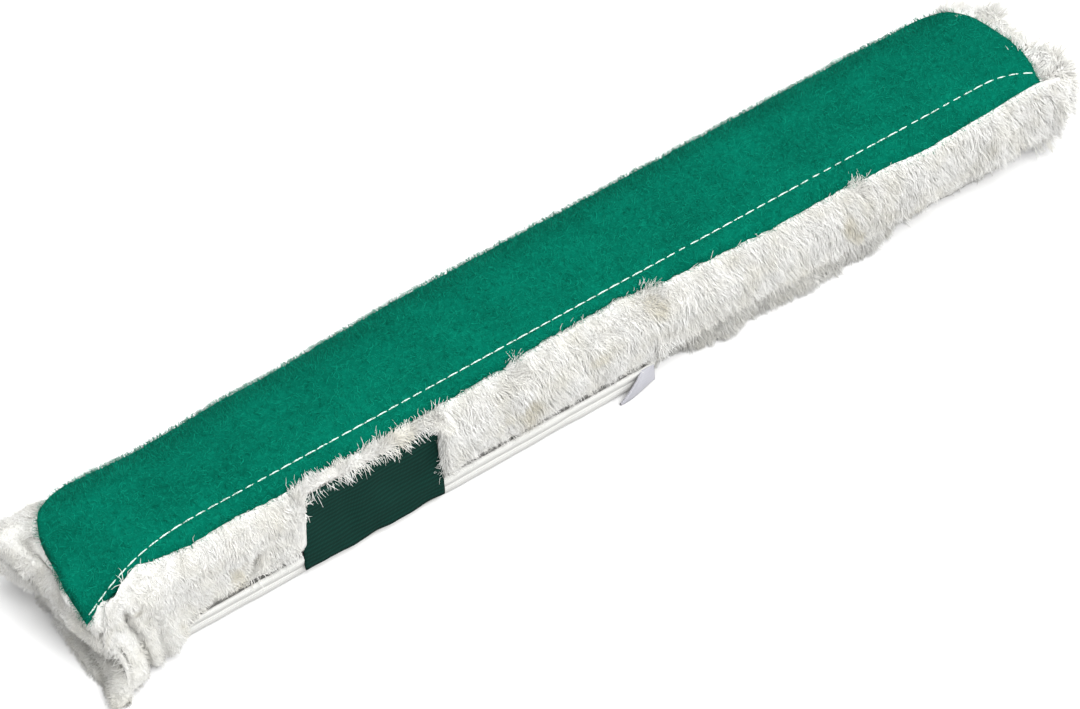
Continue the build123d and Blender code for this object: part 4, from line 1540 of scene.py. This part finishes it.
def tube(
    name: str, path: Sequence[Point], radii: Sequence[float], sides: int,
    material: Material, twist: float = 0.0, plies: float = 0.0,
) -> Object:
    """A closed tube along a path near the XZ plane.

    Args:
        name: Name of the piece.
        path: Its middle line in millimetres.
        radii: Radius at each point of the path.
        sides: Corners round it.
        material: Its finish.
        twist: Turns of the plies along it.
        plies: How far the two plies bulge, as a share of the radius.

    Returns:
        The tube.
    """
    points = []
    for i, (spot, radius) in enumerate(zip(path, radii)):
        way = Vector(path[min(i + 1, len(path) - 1)]) - Vector(path[max(i - 1, 0)])
        side = Vector((0, 1, 0))
        up = side.cross(way).normalized()
        for j in range(sides):
            angle = 2 * math.pi * j / sides
            size = radius * (1 + plies * math.cos(2 * (angle - math.tau * twist * i / len(path))))
            offset = side * size * math.cos(angle) + up * size * math.sin(angle)
            points.append(tuple(Vector(spot) + offset))
    faces = quads(len(path) - 1, sides, closed=True)
    faces.append(list(range(sides)))
    faces.append([(len(path) - 1) * sides + j for j in range(sides)])
    piece = make_piece(name, points, faces, material)
    outward(piece)
    return piece


@dataclass
class Seam:
    """A run of stitches: each a bowed, two-ply length of thread that dips in at its ends."""

    name: str
    body: str
    places: list[Place]
    length: float = 3.5
    radius: float = 0.21
    dip: float = 0.3

    def build(self, units: UnitTree, thread: Material) -> Object:
        """Sets the stitches.

        Args:
            units: Places them.
            thread: The thread.

        Returns:
            The seam.
        """
        rings = 8
        shares = [i / (rings - 1) for i in range(rings)]
        swell = [math.sin(math.pi * (0.06 + 0.88 * s)) for s in shares]
        unit = tube(
            f"{self.name}_unit",
            [((s - 0.5) * self.length, 0.0, self.dip * (w - 1)) for s, w in zip(shares, swell)],
            [self.radius * w**0.4 for w in swell],
            7,
            thread,
            twist=1.2,
            plies=0.15,
        )
        piece = units.place(self.name, unit, self.places, thread, 0.07)
        return settle(piece, self.body, "thread", self.name)


def row(
    start: Point, end: Point, pitch: float, away: Point, wander: float = 0.12
) -> list[Place]:
    """Places of a straight run of stitches.

    Args:
        start: Its start, in millimetres.
        end: Its end.
        pitch: From one stitch to the next.
        away: Outwards from the cloth.
        wander: How far stitches stray from the line.

    Returns:
        Spot, direction and outward direction of each stitch.
    """
    first, last, out = Vector(start), Vector(end), Vector(away).normalized()
    way = (last - first).normalized()
    side = way.cross(out)
    count = int((last - first).length / pitch)
    places = []
    for i in range(count):
        spot = first.lerp(last, (i + 0.5) / count)
        stray = wander * ripple(*spot, 3.0, 51.0)
        turned = way + side * 0.12 * ripple(*spot, 2.0, 53.0)
        places.append((tuple(spot + side * stray), tuple(turned), tuple(out)))
    return places


@dataclass
class Closure:
    """Hook-and-loop closure: two woven tapes, one set with nylon hooks, one with loops."""

    start: float = 24.0
    end: float = 145.0
    low: float = 9.6
    high: float = 19.6
    hook_back: float = -17.8
    loop_back: float = -20.9
    tape: float = 0.5
    hook_pitch: float = 1.25
    hook_bend: float = 0.42

    def tape_points(self, y: float) -> list[Flat]:
        """Line of one tape, bottom to top."""
        return run((y, self.low + 0.2), (y, self.high - 0.2), 1.4) + [(y, self.high - 0.2)]

    def hooks(self, units: UnitTree, tape: Material, nylon: Material) -> None:
        """Builds the hook tape: rows of J-shaped monofilament hooks facing the flap.

        Args:
            units: Places the hooks.
            tape: Finish of the woven tape.
            nylon: Finish of the hooks.
        """
        middle = self.hook_back - self.tape / 2 - 0.05
        Sheet(
            "hook_tape", "sleeve", self.tape_points(middle), self.start, self.end,
            self.tape, "hook_tape", ("hook_strip",), wrinkle=0.05,
        ).build(tape)
        bend = self.hook_bend
        turn = [
            (bend * (1 - math.cos(a)), 0.0, 0.7 + bend * math.sin(a))
            for a in (0.6, 1.4, 2.3, 3.1, 3.9)
        ]
        path = [(0.0, 0.0, 0.0), (0.0, 0.0, 0.55), *turn]
        unit = tube("hook_unit", path, [0.13, 0.1, 0.1, 0.1, 0.1, 0.1, 0.07], 4, nylon)
        places = []
        rows = int((self.high - self.low - 1.2) / self.hook_pitch)
        for line in range(rows + 1):
            z = self.low + 0.7 + line * self.hook_pitch
            way = 1 if line % 2 else -1
            count = int((self.end - self.start - 1.5) / self.hook_pitch)
            for i in range(count):
                x = self.start + 0.9 + i * self.hook_pitch + 0.15 * ripple(i, line, 0, 0.7, 61.0)
                spot = (x, middle - self.tape / 2, z + 0.1 * ripple(i, line, 9, 0.7, 63.0))
                places.append((spot, (way * 0.4, 0.0, float(way)), (0.0, -1.0, 0.0)))
        settle(units.place("nylon_hooks", unit, places, nylon, 0.1), "sleeve", "hook_tape")

    def loops(self, grower: Grower, tape: Material, nylon: Material) -> None:
        """Builds the loop tape: a brushed tangle of fine loops facing the lip.

        Args:
            grower: Grows the loops.
            tape: Finish of the woven tape.
            nylon: Finish of the loops.
        """
        middle = self.loop_back + self.tape / 2 + 0.05
        base = Sheet(
            "loop_tape", "flap", self.tape_points(middle), self.start, self.end,
            self.tape, "loop_tape", ("loop_strip",), wrinkle=0.05,
        ).build(tape)
        for tangle in grower.dress(base, Coat.LOOPS, nylon, self._steer):
            settle(tangle, "flap", "loop_tape")

    def _steer(self, point: Vector, normal: Vector) -> Growth:
        """Loops grow only on the face towards the lip."""
        return (1.0 if normal.y > 0.5 else 0.0), Vector((ripple(*point, 2, 71.0), 0, 0)), 0.8


@dataclass
class Label:
    """The woven label: a soft, slightly crumpled cloth that hangs from its top seam."""

    start: float = -98.5
    end: float = -52.0
    top: Flat = (-23.8, 30.0)
    foot: Flat = (-25.9, 3.6)
    thickness: float = 0.55
    step: float = 1.1
    seam_drop: float = 1.2
    seam_proud: float = 0.75

    def build(self, units: UnitTree, weave: Material, thread: Material) -> None:
        """Builds the label and its seam.

        Args:
            units: Places the stitches.
            weave: The woven cloth.
            thread: The seam's thread.
        """
        across = round((self.end - self.start) / self.step)
        down = round(math.dist(self.top, self.foot) / self.step)
        label = hung_cloth("woven_label", across, down, self._place, self.thickness, weave)
        y, z = self.top[0] - self.seam_proud, self.top[1] - self.seam_drop
        stitches = row((self.start + 1, y, z), (self.end - 1, y, z), 3.2, (0, -1, 0.08))
        seam = Seam("label_stitching", "label", stitches, length=2.2, radius=0.36).build(
            units, thread
        )
        math.dist(self.top, self.foot) * MM
        settle(label, "label", "woven_label", "label")

    def _place(self, u: float, v: float) -> Point:
        """Where the share u along the label and v down it lies."""
        x = self.start + (self.end - self.start) * u
        y = self.top[0] + (self.foot[0] - self.top[0]) * v
        z = self.top[1] + (self.foot[1] - self.top[1]) * v
        loose = smooth_step(0.0, 0.5, v)
        crumple = 0.75 * ripple(x, z, 0, 12, 81.0) + 0.45 * ripple(x, 0, z, 5, 83.0)
        crumple += 0.3 * math.sin(0.32 * (x + 0.7 * z)) * loose
        edge = 0.25 * ripple(x, z, 3, 4, 85.0)
        return (
            x + edge * (abs(u - 0.5) > 0.47) - 0.5 * v * (1 - u),
            y - 0.25 - 0.9 * smooth_step(17, 9, z) + crumple * (0.2 + 0.5 * loose),
            z + edge * (v > 0.95) + 1.3 * v**2,
        )


@dataclass
class PullTab:
    """The loose end of the hem tape, which hangs beside the closure.

    It is folded over along its slanted left edge, and soft at its corners.
    """

    start: float = 6.0
    end: float = 22.0
    top: Flat = (-25.6, 8.6)
    lean: float = 8.0
    drop: float = 7.9
    thickness: float = 0.8
    across: int = 26
    down: int = 14

    def build(self, tape: Material) -> Object:
        """Builds the tab of the hem tape."""
        tab = hung_cloth(
            "pull_tab_tape", self.across, self.down, self._place, self.thickness, tape
        )
        return settle(tab, "sleeve", "hem_tape", "pull_tab")

    def _place(self, u: float, v: float) -> Point:
        """Where the share u along the tab and v down it lies."""
        tilt = math.radians(self.lean)
        left = 0.22 + 0.5 * (1 - v) ** 1.2
        share = left + (1 - left) * u
        low = 1.0 - 0.3 * smooth_step(0.45, 1.0, share) - 0.2 * smooth_step(0.2, 0, share)
        reach = self.drop * v * low
        x = self.start + (self.end - self.start) * share
        fold = 0.9 * bell(u, 0.16) + 0.5 * math.sin(math.pi * u * 1.1)
        bulge = 0.3 * ripple(x, reach, 0, 5, 91.0) - fold * math.sin(math.pi * v) ** 0.5
        y = self.top[0] - 0.3 - reach * math.sin(tilt) + bulge
        return x, y, self.top[1] - reach * math.cos(tilt)


@dataclass
class EndPanel:
    """The cloth sewn into one end of the tube, slightly puckered by its seam."""

    side: int
    place: float = 171.4
    thickness: float = 1.0
    inset: float = 0.35
    front: float = -22.1
    top: float = 29.3
    low: float = 7.4
    rings: int = 9
    flat: Flat = (42.4, 21.9)
    middle: Flat = (-2.0, 18.0)

    def outline(self) -> list[Flat]:
        """The tube's own outline, drawn in a little."""
        front, top, low = self.front + self.inset, self.top - self.inset, self.low + self.inset
        line = run((front, top), (BACK_CENTRE[0], top), 1.8)
        line += arc(BACK_CENTRE, 14.8 - self.inset, 90, -90, 14)
        line += arc(LOW_CENTRE, 7.1 - self.inset, 0, -90, 8)[1:]
        line += run((LOW_CENTRE[0], low), (front, low), 1.8)[1:]
        line += run((front, low), (front, top), 1.8)
        return line

    def build(self, cloth: Material) -> Object:
        """Builds the panel of the ground cloth."""
        edge = self.outline()
        points: list[Point] = []
        for ring in range(self.rings):
            share = 1 - ring / self.rings
            for spot in edge:
                y, z = (c + (value - c) * share for c, value in zip(self.middle, spot))
                pucker = 0.1 * ripple(self.side * 7, y, z, 4, 95.0)
                points.append(tuple(slumped(Vector((self.side * (self.place + pucker), y, z)))))
        points.append(tuple(slumped(Vector((self.side * self.place, *self.middle)))))
        size, faces = len(edge), quads(self.rings - 1, len(edge), closed=True)
        last = (self.rings - 1) * size
        faces += [(last + j, last + (j + 1) % size, len(points) - 1) for j in range(size)]
        side_name = "left" if self.side < 0 else "right"
        panel = make_piece(f"{side_name}_end_panel", points, faces, cloth)
        thicken(panel, self.thickness)
        wide, high = self.flat
        return settle(panel, "sleeve", "ground_cloth", f"{side_name}_end_cloth")


# The studio


@dataclass
class Studio:
    """Pale floor, soft lights and the photograph's camera."""

    azimuth: float = -37.4
    elevation: float = 46.1
    distance: float = 1.6
    lens: float = 190.16
    target: Point = (-0.0033, -0.0067, 0.0124)
    floor_size: float = 8000.0
    floor_colour: str = "#fbfbfb"
    bounce_colour: str = "#b0b0b0"
    world_strength: float = 0.63

    def build(self) -> None:
        """Sets the floor, the lights, the world and the camera."""
        self._floor()
        self._world()
        for name, place, size, power in (
            ("key", (-0.45, -1.6, 2.15), 1.3, 65.0),
            ("top", (0.3, 0.4, 2.3), 1.6, 32.0),
            ("fill", (1.8, -1.2, 0.9), 1.6, 14.0),
        ):
            self._lamp(name, place, size, power)
        self._camera()

    def _floor(self) -> None:
        """A plain matt sheet under the object."""
        # Seen white, but it throws less light back up at the object than white paper would
        colours = {6: linear(self.bounce_colour), 7: linear(self.floor_colour)}
        paper = new_material(
            "matt_paper",
            (
                Node("ray", "ShaderNodeLightPath", {}),
                Node("tone", MIX, {0: "@ray.Is Camera Ray"} | colours, COLOUR),
            ),
            {"Base Color": "@tone.2", "Roughness": 0.95, "Specular IOR Level": 0.0},
        )
        half = self.floor_size / 2
        corners = [(-half, -half, 0), (half, -half, 0), (half, half, 0), (-half, half, 0)]
        make_piece("floor", corners, [(0, 1, 2, 3)], paper)

    def _world(self) -> None:
        """Even pale surroundings."""
        world = bpy.data.worlds.new("surroundings")
        world.use_nodes = True
        back = world.node_tree.nodes["Background"]
        back.inputs["Color"].default_value = linear("#ffffff")
        back.inputs["Strength"].default_value = self.world_strength
        bpy.context.scene.world = world

    def _lamp(self, name: str, place: Point, size: float, power: float) -> None:
        """A soft square lamp that faces the object: its place, side in metres and watts."""
        lamp = bpy.data.lights.new(name, "AREA")
        lamp.size, lamp.energy = size, power
        holder = bpy.data.objects.new(name, lamp)
        holder.location = place
        holder.rotation_euler = (-Vector(place)).to_track_quat("-Z", "Y").to_euler()
        bpy.context.scene.collection.objects.link(holder)

    def _camera(self) -> None:
        """The camera of the photograph's fit."""
        turn, tilt = math.radians(self.azimuth), math.radians(self.elevation)
        back = Vector(
            (math.sin(turn) * math.cos(tilt), -math.cos(turn) * math.cos(tilt), math.sin(tilt))
        )
        camera = bpy.data.cameras.new("camera")
        camera.lens, camera.sensor_width, camera.sensor_fit = self.lens, 36.0, "HORIZONTAL"
        camera.clip_start, camera.clip_end = 0.05, 20.0
        holder = bpy.data.objects.new("camera", camera)
        holder.location = Vector(self.target) + back * self.distance
        holder.rotation_euler = (math.pi / 2 - tilt, 0.0, turn)
        bpy.context.scene.collection.objects.link(holder)
        bpy.context.scene.camera = holder
        bpy.context.scene.view_settings.view_transform = "Standard"


# The whole sleeve


def worn(finish: PlushFinish | WovenFinish | ThreadFinish) -> Material:
    """A field that holds a finish's material."""
    return field(default_factory=finish.material)


@dataclass
class Wardrobe:
    """The materials that several pieces share."""

    fibre: Material = worn(PlushFinish())
    under: Material = worn(PlushFinish("polyester_plush_ground", base_only=True))
    thread: Material = worn(ThreadFinish())
    dark_thread: Material = worn(ThreadFinish("green_sewing_thread", "#1f5548", "#0d332a"))
    cloth: Material = worn(WovenFinish("polyester_ground_cloth", "#dcdcd8", "#b4b4ae", 0.7))
    tape: Material = worn(
        WovenFinish("polyester_hem_tape", "#e6e6e3", "#cfcfcb", 0.5, Weave.KNIT)
    )
    # A greyer copy of the hem tape: painted shade for the tab, which faces down
    painted_shade_tape: Material = worn(
        WovenFinish("polyester_tape_underside", "#c6c6cc", "#aeaeb6", 0.5, Weave.KNIT)
    )
    weave: Material = worn(
        WovenFinish(
            "woven_label_satin", "#123d34", "#08231e", 0.45, Weave.SATIN, roughness=0.75,
            sheen=0.0, shine=0.08, bump_mm=0.08,
        )
    )
    hook: Material = worn(WovenFinish("hook_tape_nylon", "#d7d7d2", "#b9b9b4", 0.6))
    nylon: Material = worn(ThreadFinish("nylon_monofilament", "#e4e4de", "#c9c9c2", 0.5))


@dataclass
class Sleeve:
    """All pieces of the washer sleeve, in the order that it is made up."""

    grower: Grower = field(default_factory=Grower)
    units: UnitTree = field(default_factory=UnitTree)
    wear: Wardrobe = field(default_factory=Wardrobe)
    half_length: float = 170.6
    gap: Flat = (-50, 22)
    ground: float = 0.9
    lip_height: float = 12.6
    hem_setback: float = 0.8

    def build(self) -> None:
        """Builds every piece."""
        pad = ScouringPad()
        pad.build(self.grower, NonwovenFinish())
        self.piles(pad)
        self.cloths()
        self.seams(pad)
        Label().build(self.units, self.wear.weave, self.wear.dark_thread)

    def piles(self, pad: ScouringPad) -> None:
        """Builds the plush all round.

        Args:
            pad: The pad, which the front pile meets.
        """
        for pile in (
            FrontPlush("front_plush", "sleeve", ("front_pile",), points=3, pad=pad),
            FrontPlush("flap_plush", "flap", ("flap_pile",), points=3, pad=pad, clip=10.7),
            LipPlush("lip_plush", "sleeve", ("lip_pile",), sink=1.2, points=3),
            EndPlush(
                "left_end_plush", "sleeve", ("left_end_pile",), sink=0.8, lump=1.5,
                lump_size=11.0, fold=1.8, coat=Coat.SOFT, points=3, side=-1, drapes=3.4,
            ),
            EndPlush(
                "right_end_plush", "sleeve", ("right_end_pile",), sink=2.6, lump=1.2,
                coat=Coat.LOCKS, points=4, side=1, tufts=1.5,
            ),
            BottomPlush(
                "bottom_plush", "sleeve", ("bottom_pile",), voxel=1.6, share=0.22, points=3,
            ),
            BedPlush(
                "bed_plush", "sleeve", ("bed_pile",), sink=0.2, lump=0.2, share=0.6, points=3,
                pad=pad,
            ),
        ):
            pile.build(self.grower, self.wear.under, self.wear.fibre)

    def cloths(self) -> None:
        """Builds the ground cloths, hems and closure."""
        self._tube()
        self._front_walls()
        self._flap()
        self._allowance()
        self._hem()
        for side in (-1, 1):
            EndPanel(side).build(self.wear.cloth)
        closure = Closure()
        closure.hooks(self.units, self.wear.hook, self.wear.nylon)
        closure.loops(self.grower, self.wear.hook, self.wear.nylon)

    def _tube(self) -> None:
        """The ground cloth that is folded round into the tube."""
        line = run((-20.6, 28.7), (BACK_CENTRE[0], 28.7), 2.0)
        line += arc(BACK_CENTRE, 14.2, 90, -90, 16)
        line += arc(LOW_CENTRE, 6.5, 0, -90, 9)[1:]
        line += run((LOW_CENTRE[0], 8.0), (-15.4, 8.0), 2.0)[1:]
        line += arc((-15.4, 9.8), 1.8, -90, -90, 5)
        line += run((-17.2, 9.8), (-17.2, 19.6), 1.4)[1:] + [(-17.2, 19.6)]

        def in_gap(x: float, y: float, z: float) -> bool:
            """The lip is cut away along the handle gap."""
            return self.gap[0] < x < self.gap[1] and y < -15.4 and z < 25

        tube_cloth = Sheet(
            "tube_cloth", "sleeve", line, -self.half_length, self.half_length, 1.0,
            "ground_cloth", ("sleeve_cloth",), skip=in_gap,
        ).build(self.wear.cloth)
        length, missing = length_of(line), (self.gap[1] - self.gap[0]) * self.lip_height

    def _front_walls(self) -> None:
        """The fixed stretches of the front wall, left of the gap and at the right end."""
        line = run((-21.5, 9.4), (-21.5, 26.2), 1.5) + [(-21.5, 26.2), (-21.2, 28.6)]
        for name, start, end in (
            ("left_front_cloth", -self.half_length, -50.6),
            ("right_front_cloth", 147.6, self.half_length),
        ):
            wall = Sheet(
                name, "sleeve", line, start, end, self.ground, "ground_cloth", ("front_cloth",),
            ).build(self.wear.cloth)

    def _flap(self) -> None:
        """The flap's ground cloth, notched over the gap, and the tape inside it."""
        tape_line = [(-20.35, 13.8), (-20.4, 15.5), (-20.35, 17.4), (-20.4, 19.4)]
        hem_tape = Sheet(
            "gap_hem_tape", "flap", tape_line, -49.8, 21.8, 0.7, "hem_tape",
            ("flap_hem_tape",), wrinkle=0.1,
        ).build(self.wear.tape)

        def in_notch(x: float, y: float, z: float) -> bool:
            """The flap is notched over the handle gap."""
            return x < self.gap[1] and z < 13.6

        line = run((-21.5, 9.4), (-21.5, 29.0), 1.4) + [(-21.5, 29.0)]
        flap = Sheet(
            "flap_ground_cloth", "flap", line, -49.8, 146.8, self.ground, "ground_cloth",
            ("flap_cloth",), skip=in_notch,
        ).build(self.wear.cloth)

    def _allowance(self) -> None:
        """The two edges that are sewn together left of the gap."""
        line = run((-20.3, 19.3), (-20.3, 10.9), 1.4)
        line += arc((-19.35, 10.9), 0.95, 180, 180, 6)
        line += run((-18.4, 10.9), (-18.4, 19.3), 1.4)[1:] + [(-18.4, 19.3)]
        allowance = Sheet(
            "seam_allowance", "sleeve", line, -170.4, -50.2, self.ground, "ground_cloth",
            ("closing_seam_allowance",), wrinkle=0.08,
        ).build(self.wear.cloth)
        length_of(line) * MM

    def _hem(self) -> None:
        """The hem tape round the lower edge, and its loose end.

        Its folded lip stands up in front of the slit, and its double edge shows below.
        """
        line = [
            (-18.2, 6.0), (-21.0, 5.0), (-24.0, 4.8), (-25.6, 6.0), (-26.1, 7.6), (-26.5, 8.8),
            (-26.9, 8.5), (-26.7, 7.2), (-26.2, 5.9), (-25.5, 5.1), (-25.8, 4.5), (-25.9, 3.2),
            (-25.4, 1.8), (-24.6, 0.9), (-22.0, 0.7), (-18.2, 0.8),
        ]
        line = [(y + self.hem_setback, z) for y, z in line]
        hem = Sheet(
            "hem_roll", "sleeve", line, -self.half_length, 21.8, 0.55, "hem_tape",
            ("lower_hem",), wrinkle=0.3, step=1.6,
        ).build(self.wear.tape)
        # The tab wears the hem tape painted greyer, as painted shade
        tab = PullTab().build(self.wear.painted_shade_tape)
        length_of(line) * MM

    def _pad_seam(self, pad: ScouringPad) -> list[Place]:
        """Places of the stitches along the pad's near edge, set into its surface."""
        count, start, length = 83, -167, 333
        places = []
        for i in range(count):
            x = start + length * (i + 0.5) / count
            spots = []
            for place in (x - 1.5, x + 1.5):
                y, z, ny, nz = pad.on_top(place, pad.seam_from_edge(place))
                lift = -0.9 + 0.35 + 0.12 * ripple(place, 0, 0, 3.0, 99.0)
                spots.append(Vector((place, y + ny * lift, z + nz * lift)))
            middle, way = (spots[0] + spots[1]) / 2, spots[1] - spots[0]
            places.append((tuple(middle), tuple(way), (0, ny, nz)))
        return places

    def seams(self, pad: ScouringPad) -> None:
        """Builds every seam.

        Args:
            pad: The pad, whose near seam follows its surface.
        """
        near = self._pad_seam(pad)
        Seam("pad_front_stitching", "sleeve", near).build(self.units, self.wear.thread)
        turn, tape = math.radians(20), Closure()
        out = (0, math.cos(turn), math.sin(turn))
        back = [middle + 22.6 * way for middle, way in zip(BACK_CENTRE, out[1:])]
        rows = {
            "pad_rear_stitching": [((-131, *back), (149, *back), out)],
            "closing_seam_stitching": [((-168, -16.4, 14.6), (-52, -16.4, 14.6), (0, 1, 0))],
            "hook_strip_stitching": [
                ((tape.start, -16.4, z), (tape.end, -16.4, z), (0, 1, 0)) for z in (11.2, 18.0)
            ],
        }
        for side, name in ((-1, "left"), (1, "right")):
            x = side * 170.5
            rows[f"{name}_end_stitching"] = [
                ((x, -15, z), (x, 7, z), (-side, 0, 0)) for z in (9.8, 26.9)
            ]
        for name, lines in rows.items():
            places = [place for start, end, away in lines for place in row(start, end, 4, away)]
            places = [(tuple(slumped(Vector(spot))), way, away) for spot, way, away in places]
            Seam(name, "sleeve", places).build(self.units, self.wear.thread)
        loop_seam = row((tape.start, -20.7, 20.15), (tape.end, -20.7, 20.15), 4, (0, 1, 0))
        Seam("loop_strip_stitching", "flap", loop_seam).build(self.units, self.wear.thread)
        tacks = [
            ((x + way * (2.6 + line * 0.95), -24.5, 4.6), (0.06 * line, 0, 1.0), (0.0, -1.0, 0.0))
            for x, way in ((self.gap[0], 1), (PullTab.start, -1))
            for line in range(4)
        ]
        Seam("bar_tacks", "sleeve", tacks, length=4.4, radius=0.36, dip=0.2).build(
            self.units, self.wear.thread
        )


def main() -> None:
    logging.basicConfig(level=logging.INFO, format="%(name)s: %(message)s")
    Sleeve().build()
    Studio().build()


if __name__ == "__main__":
    main()
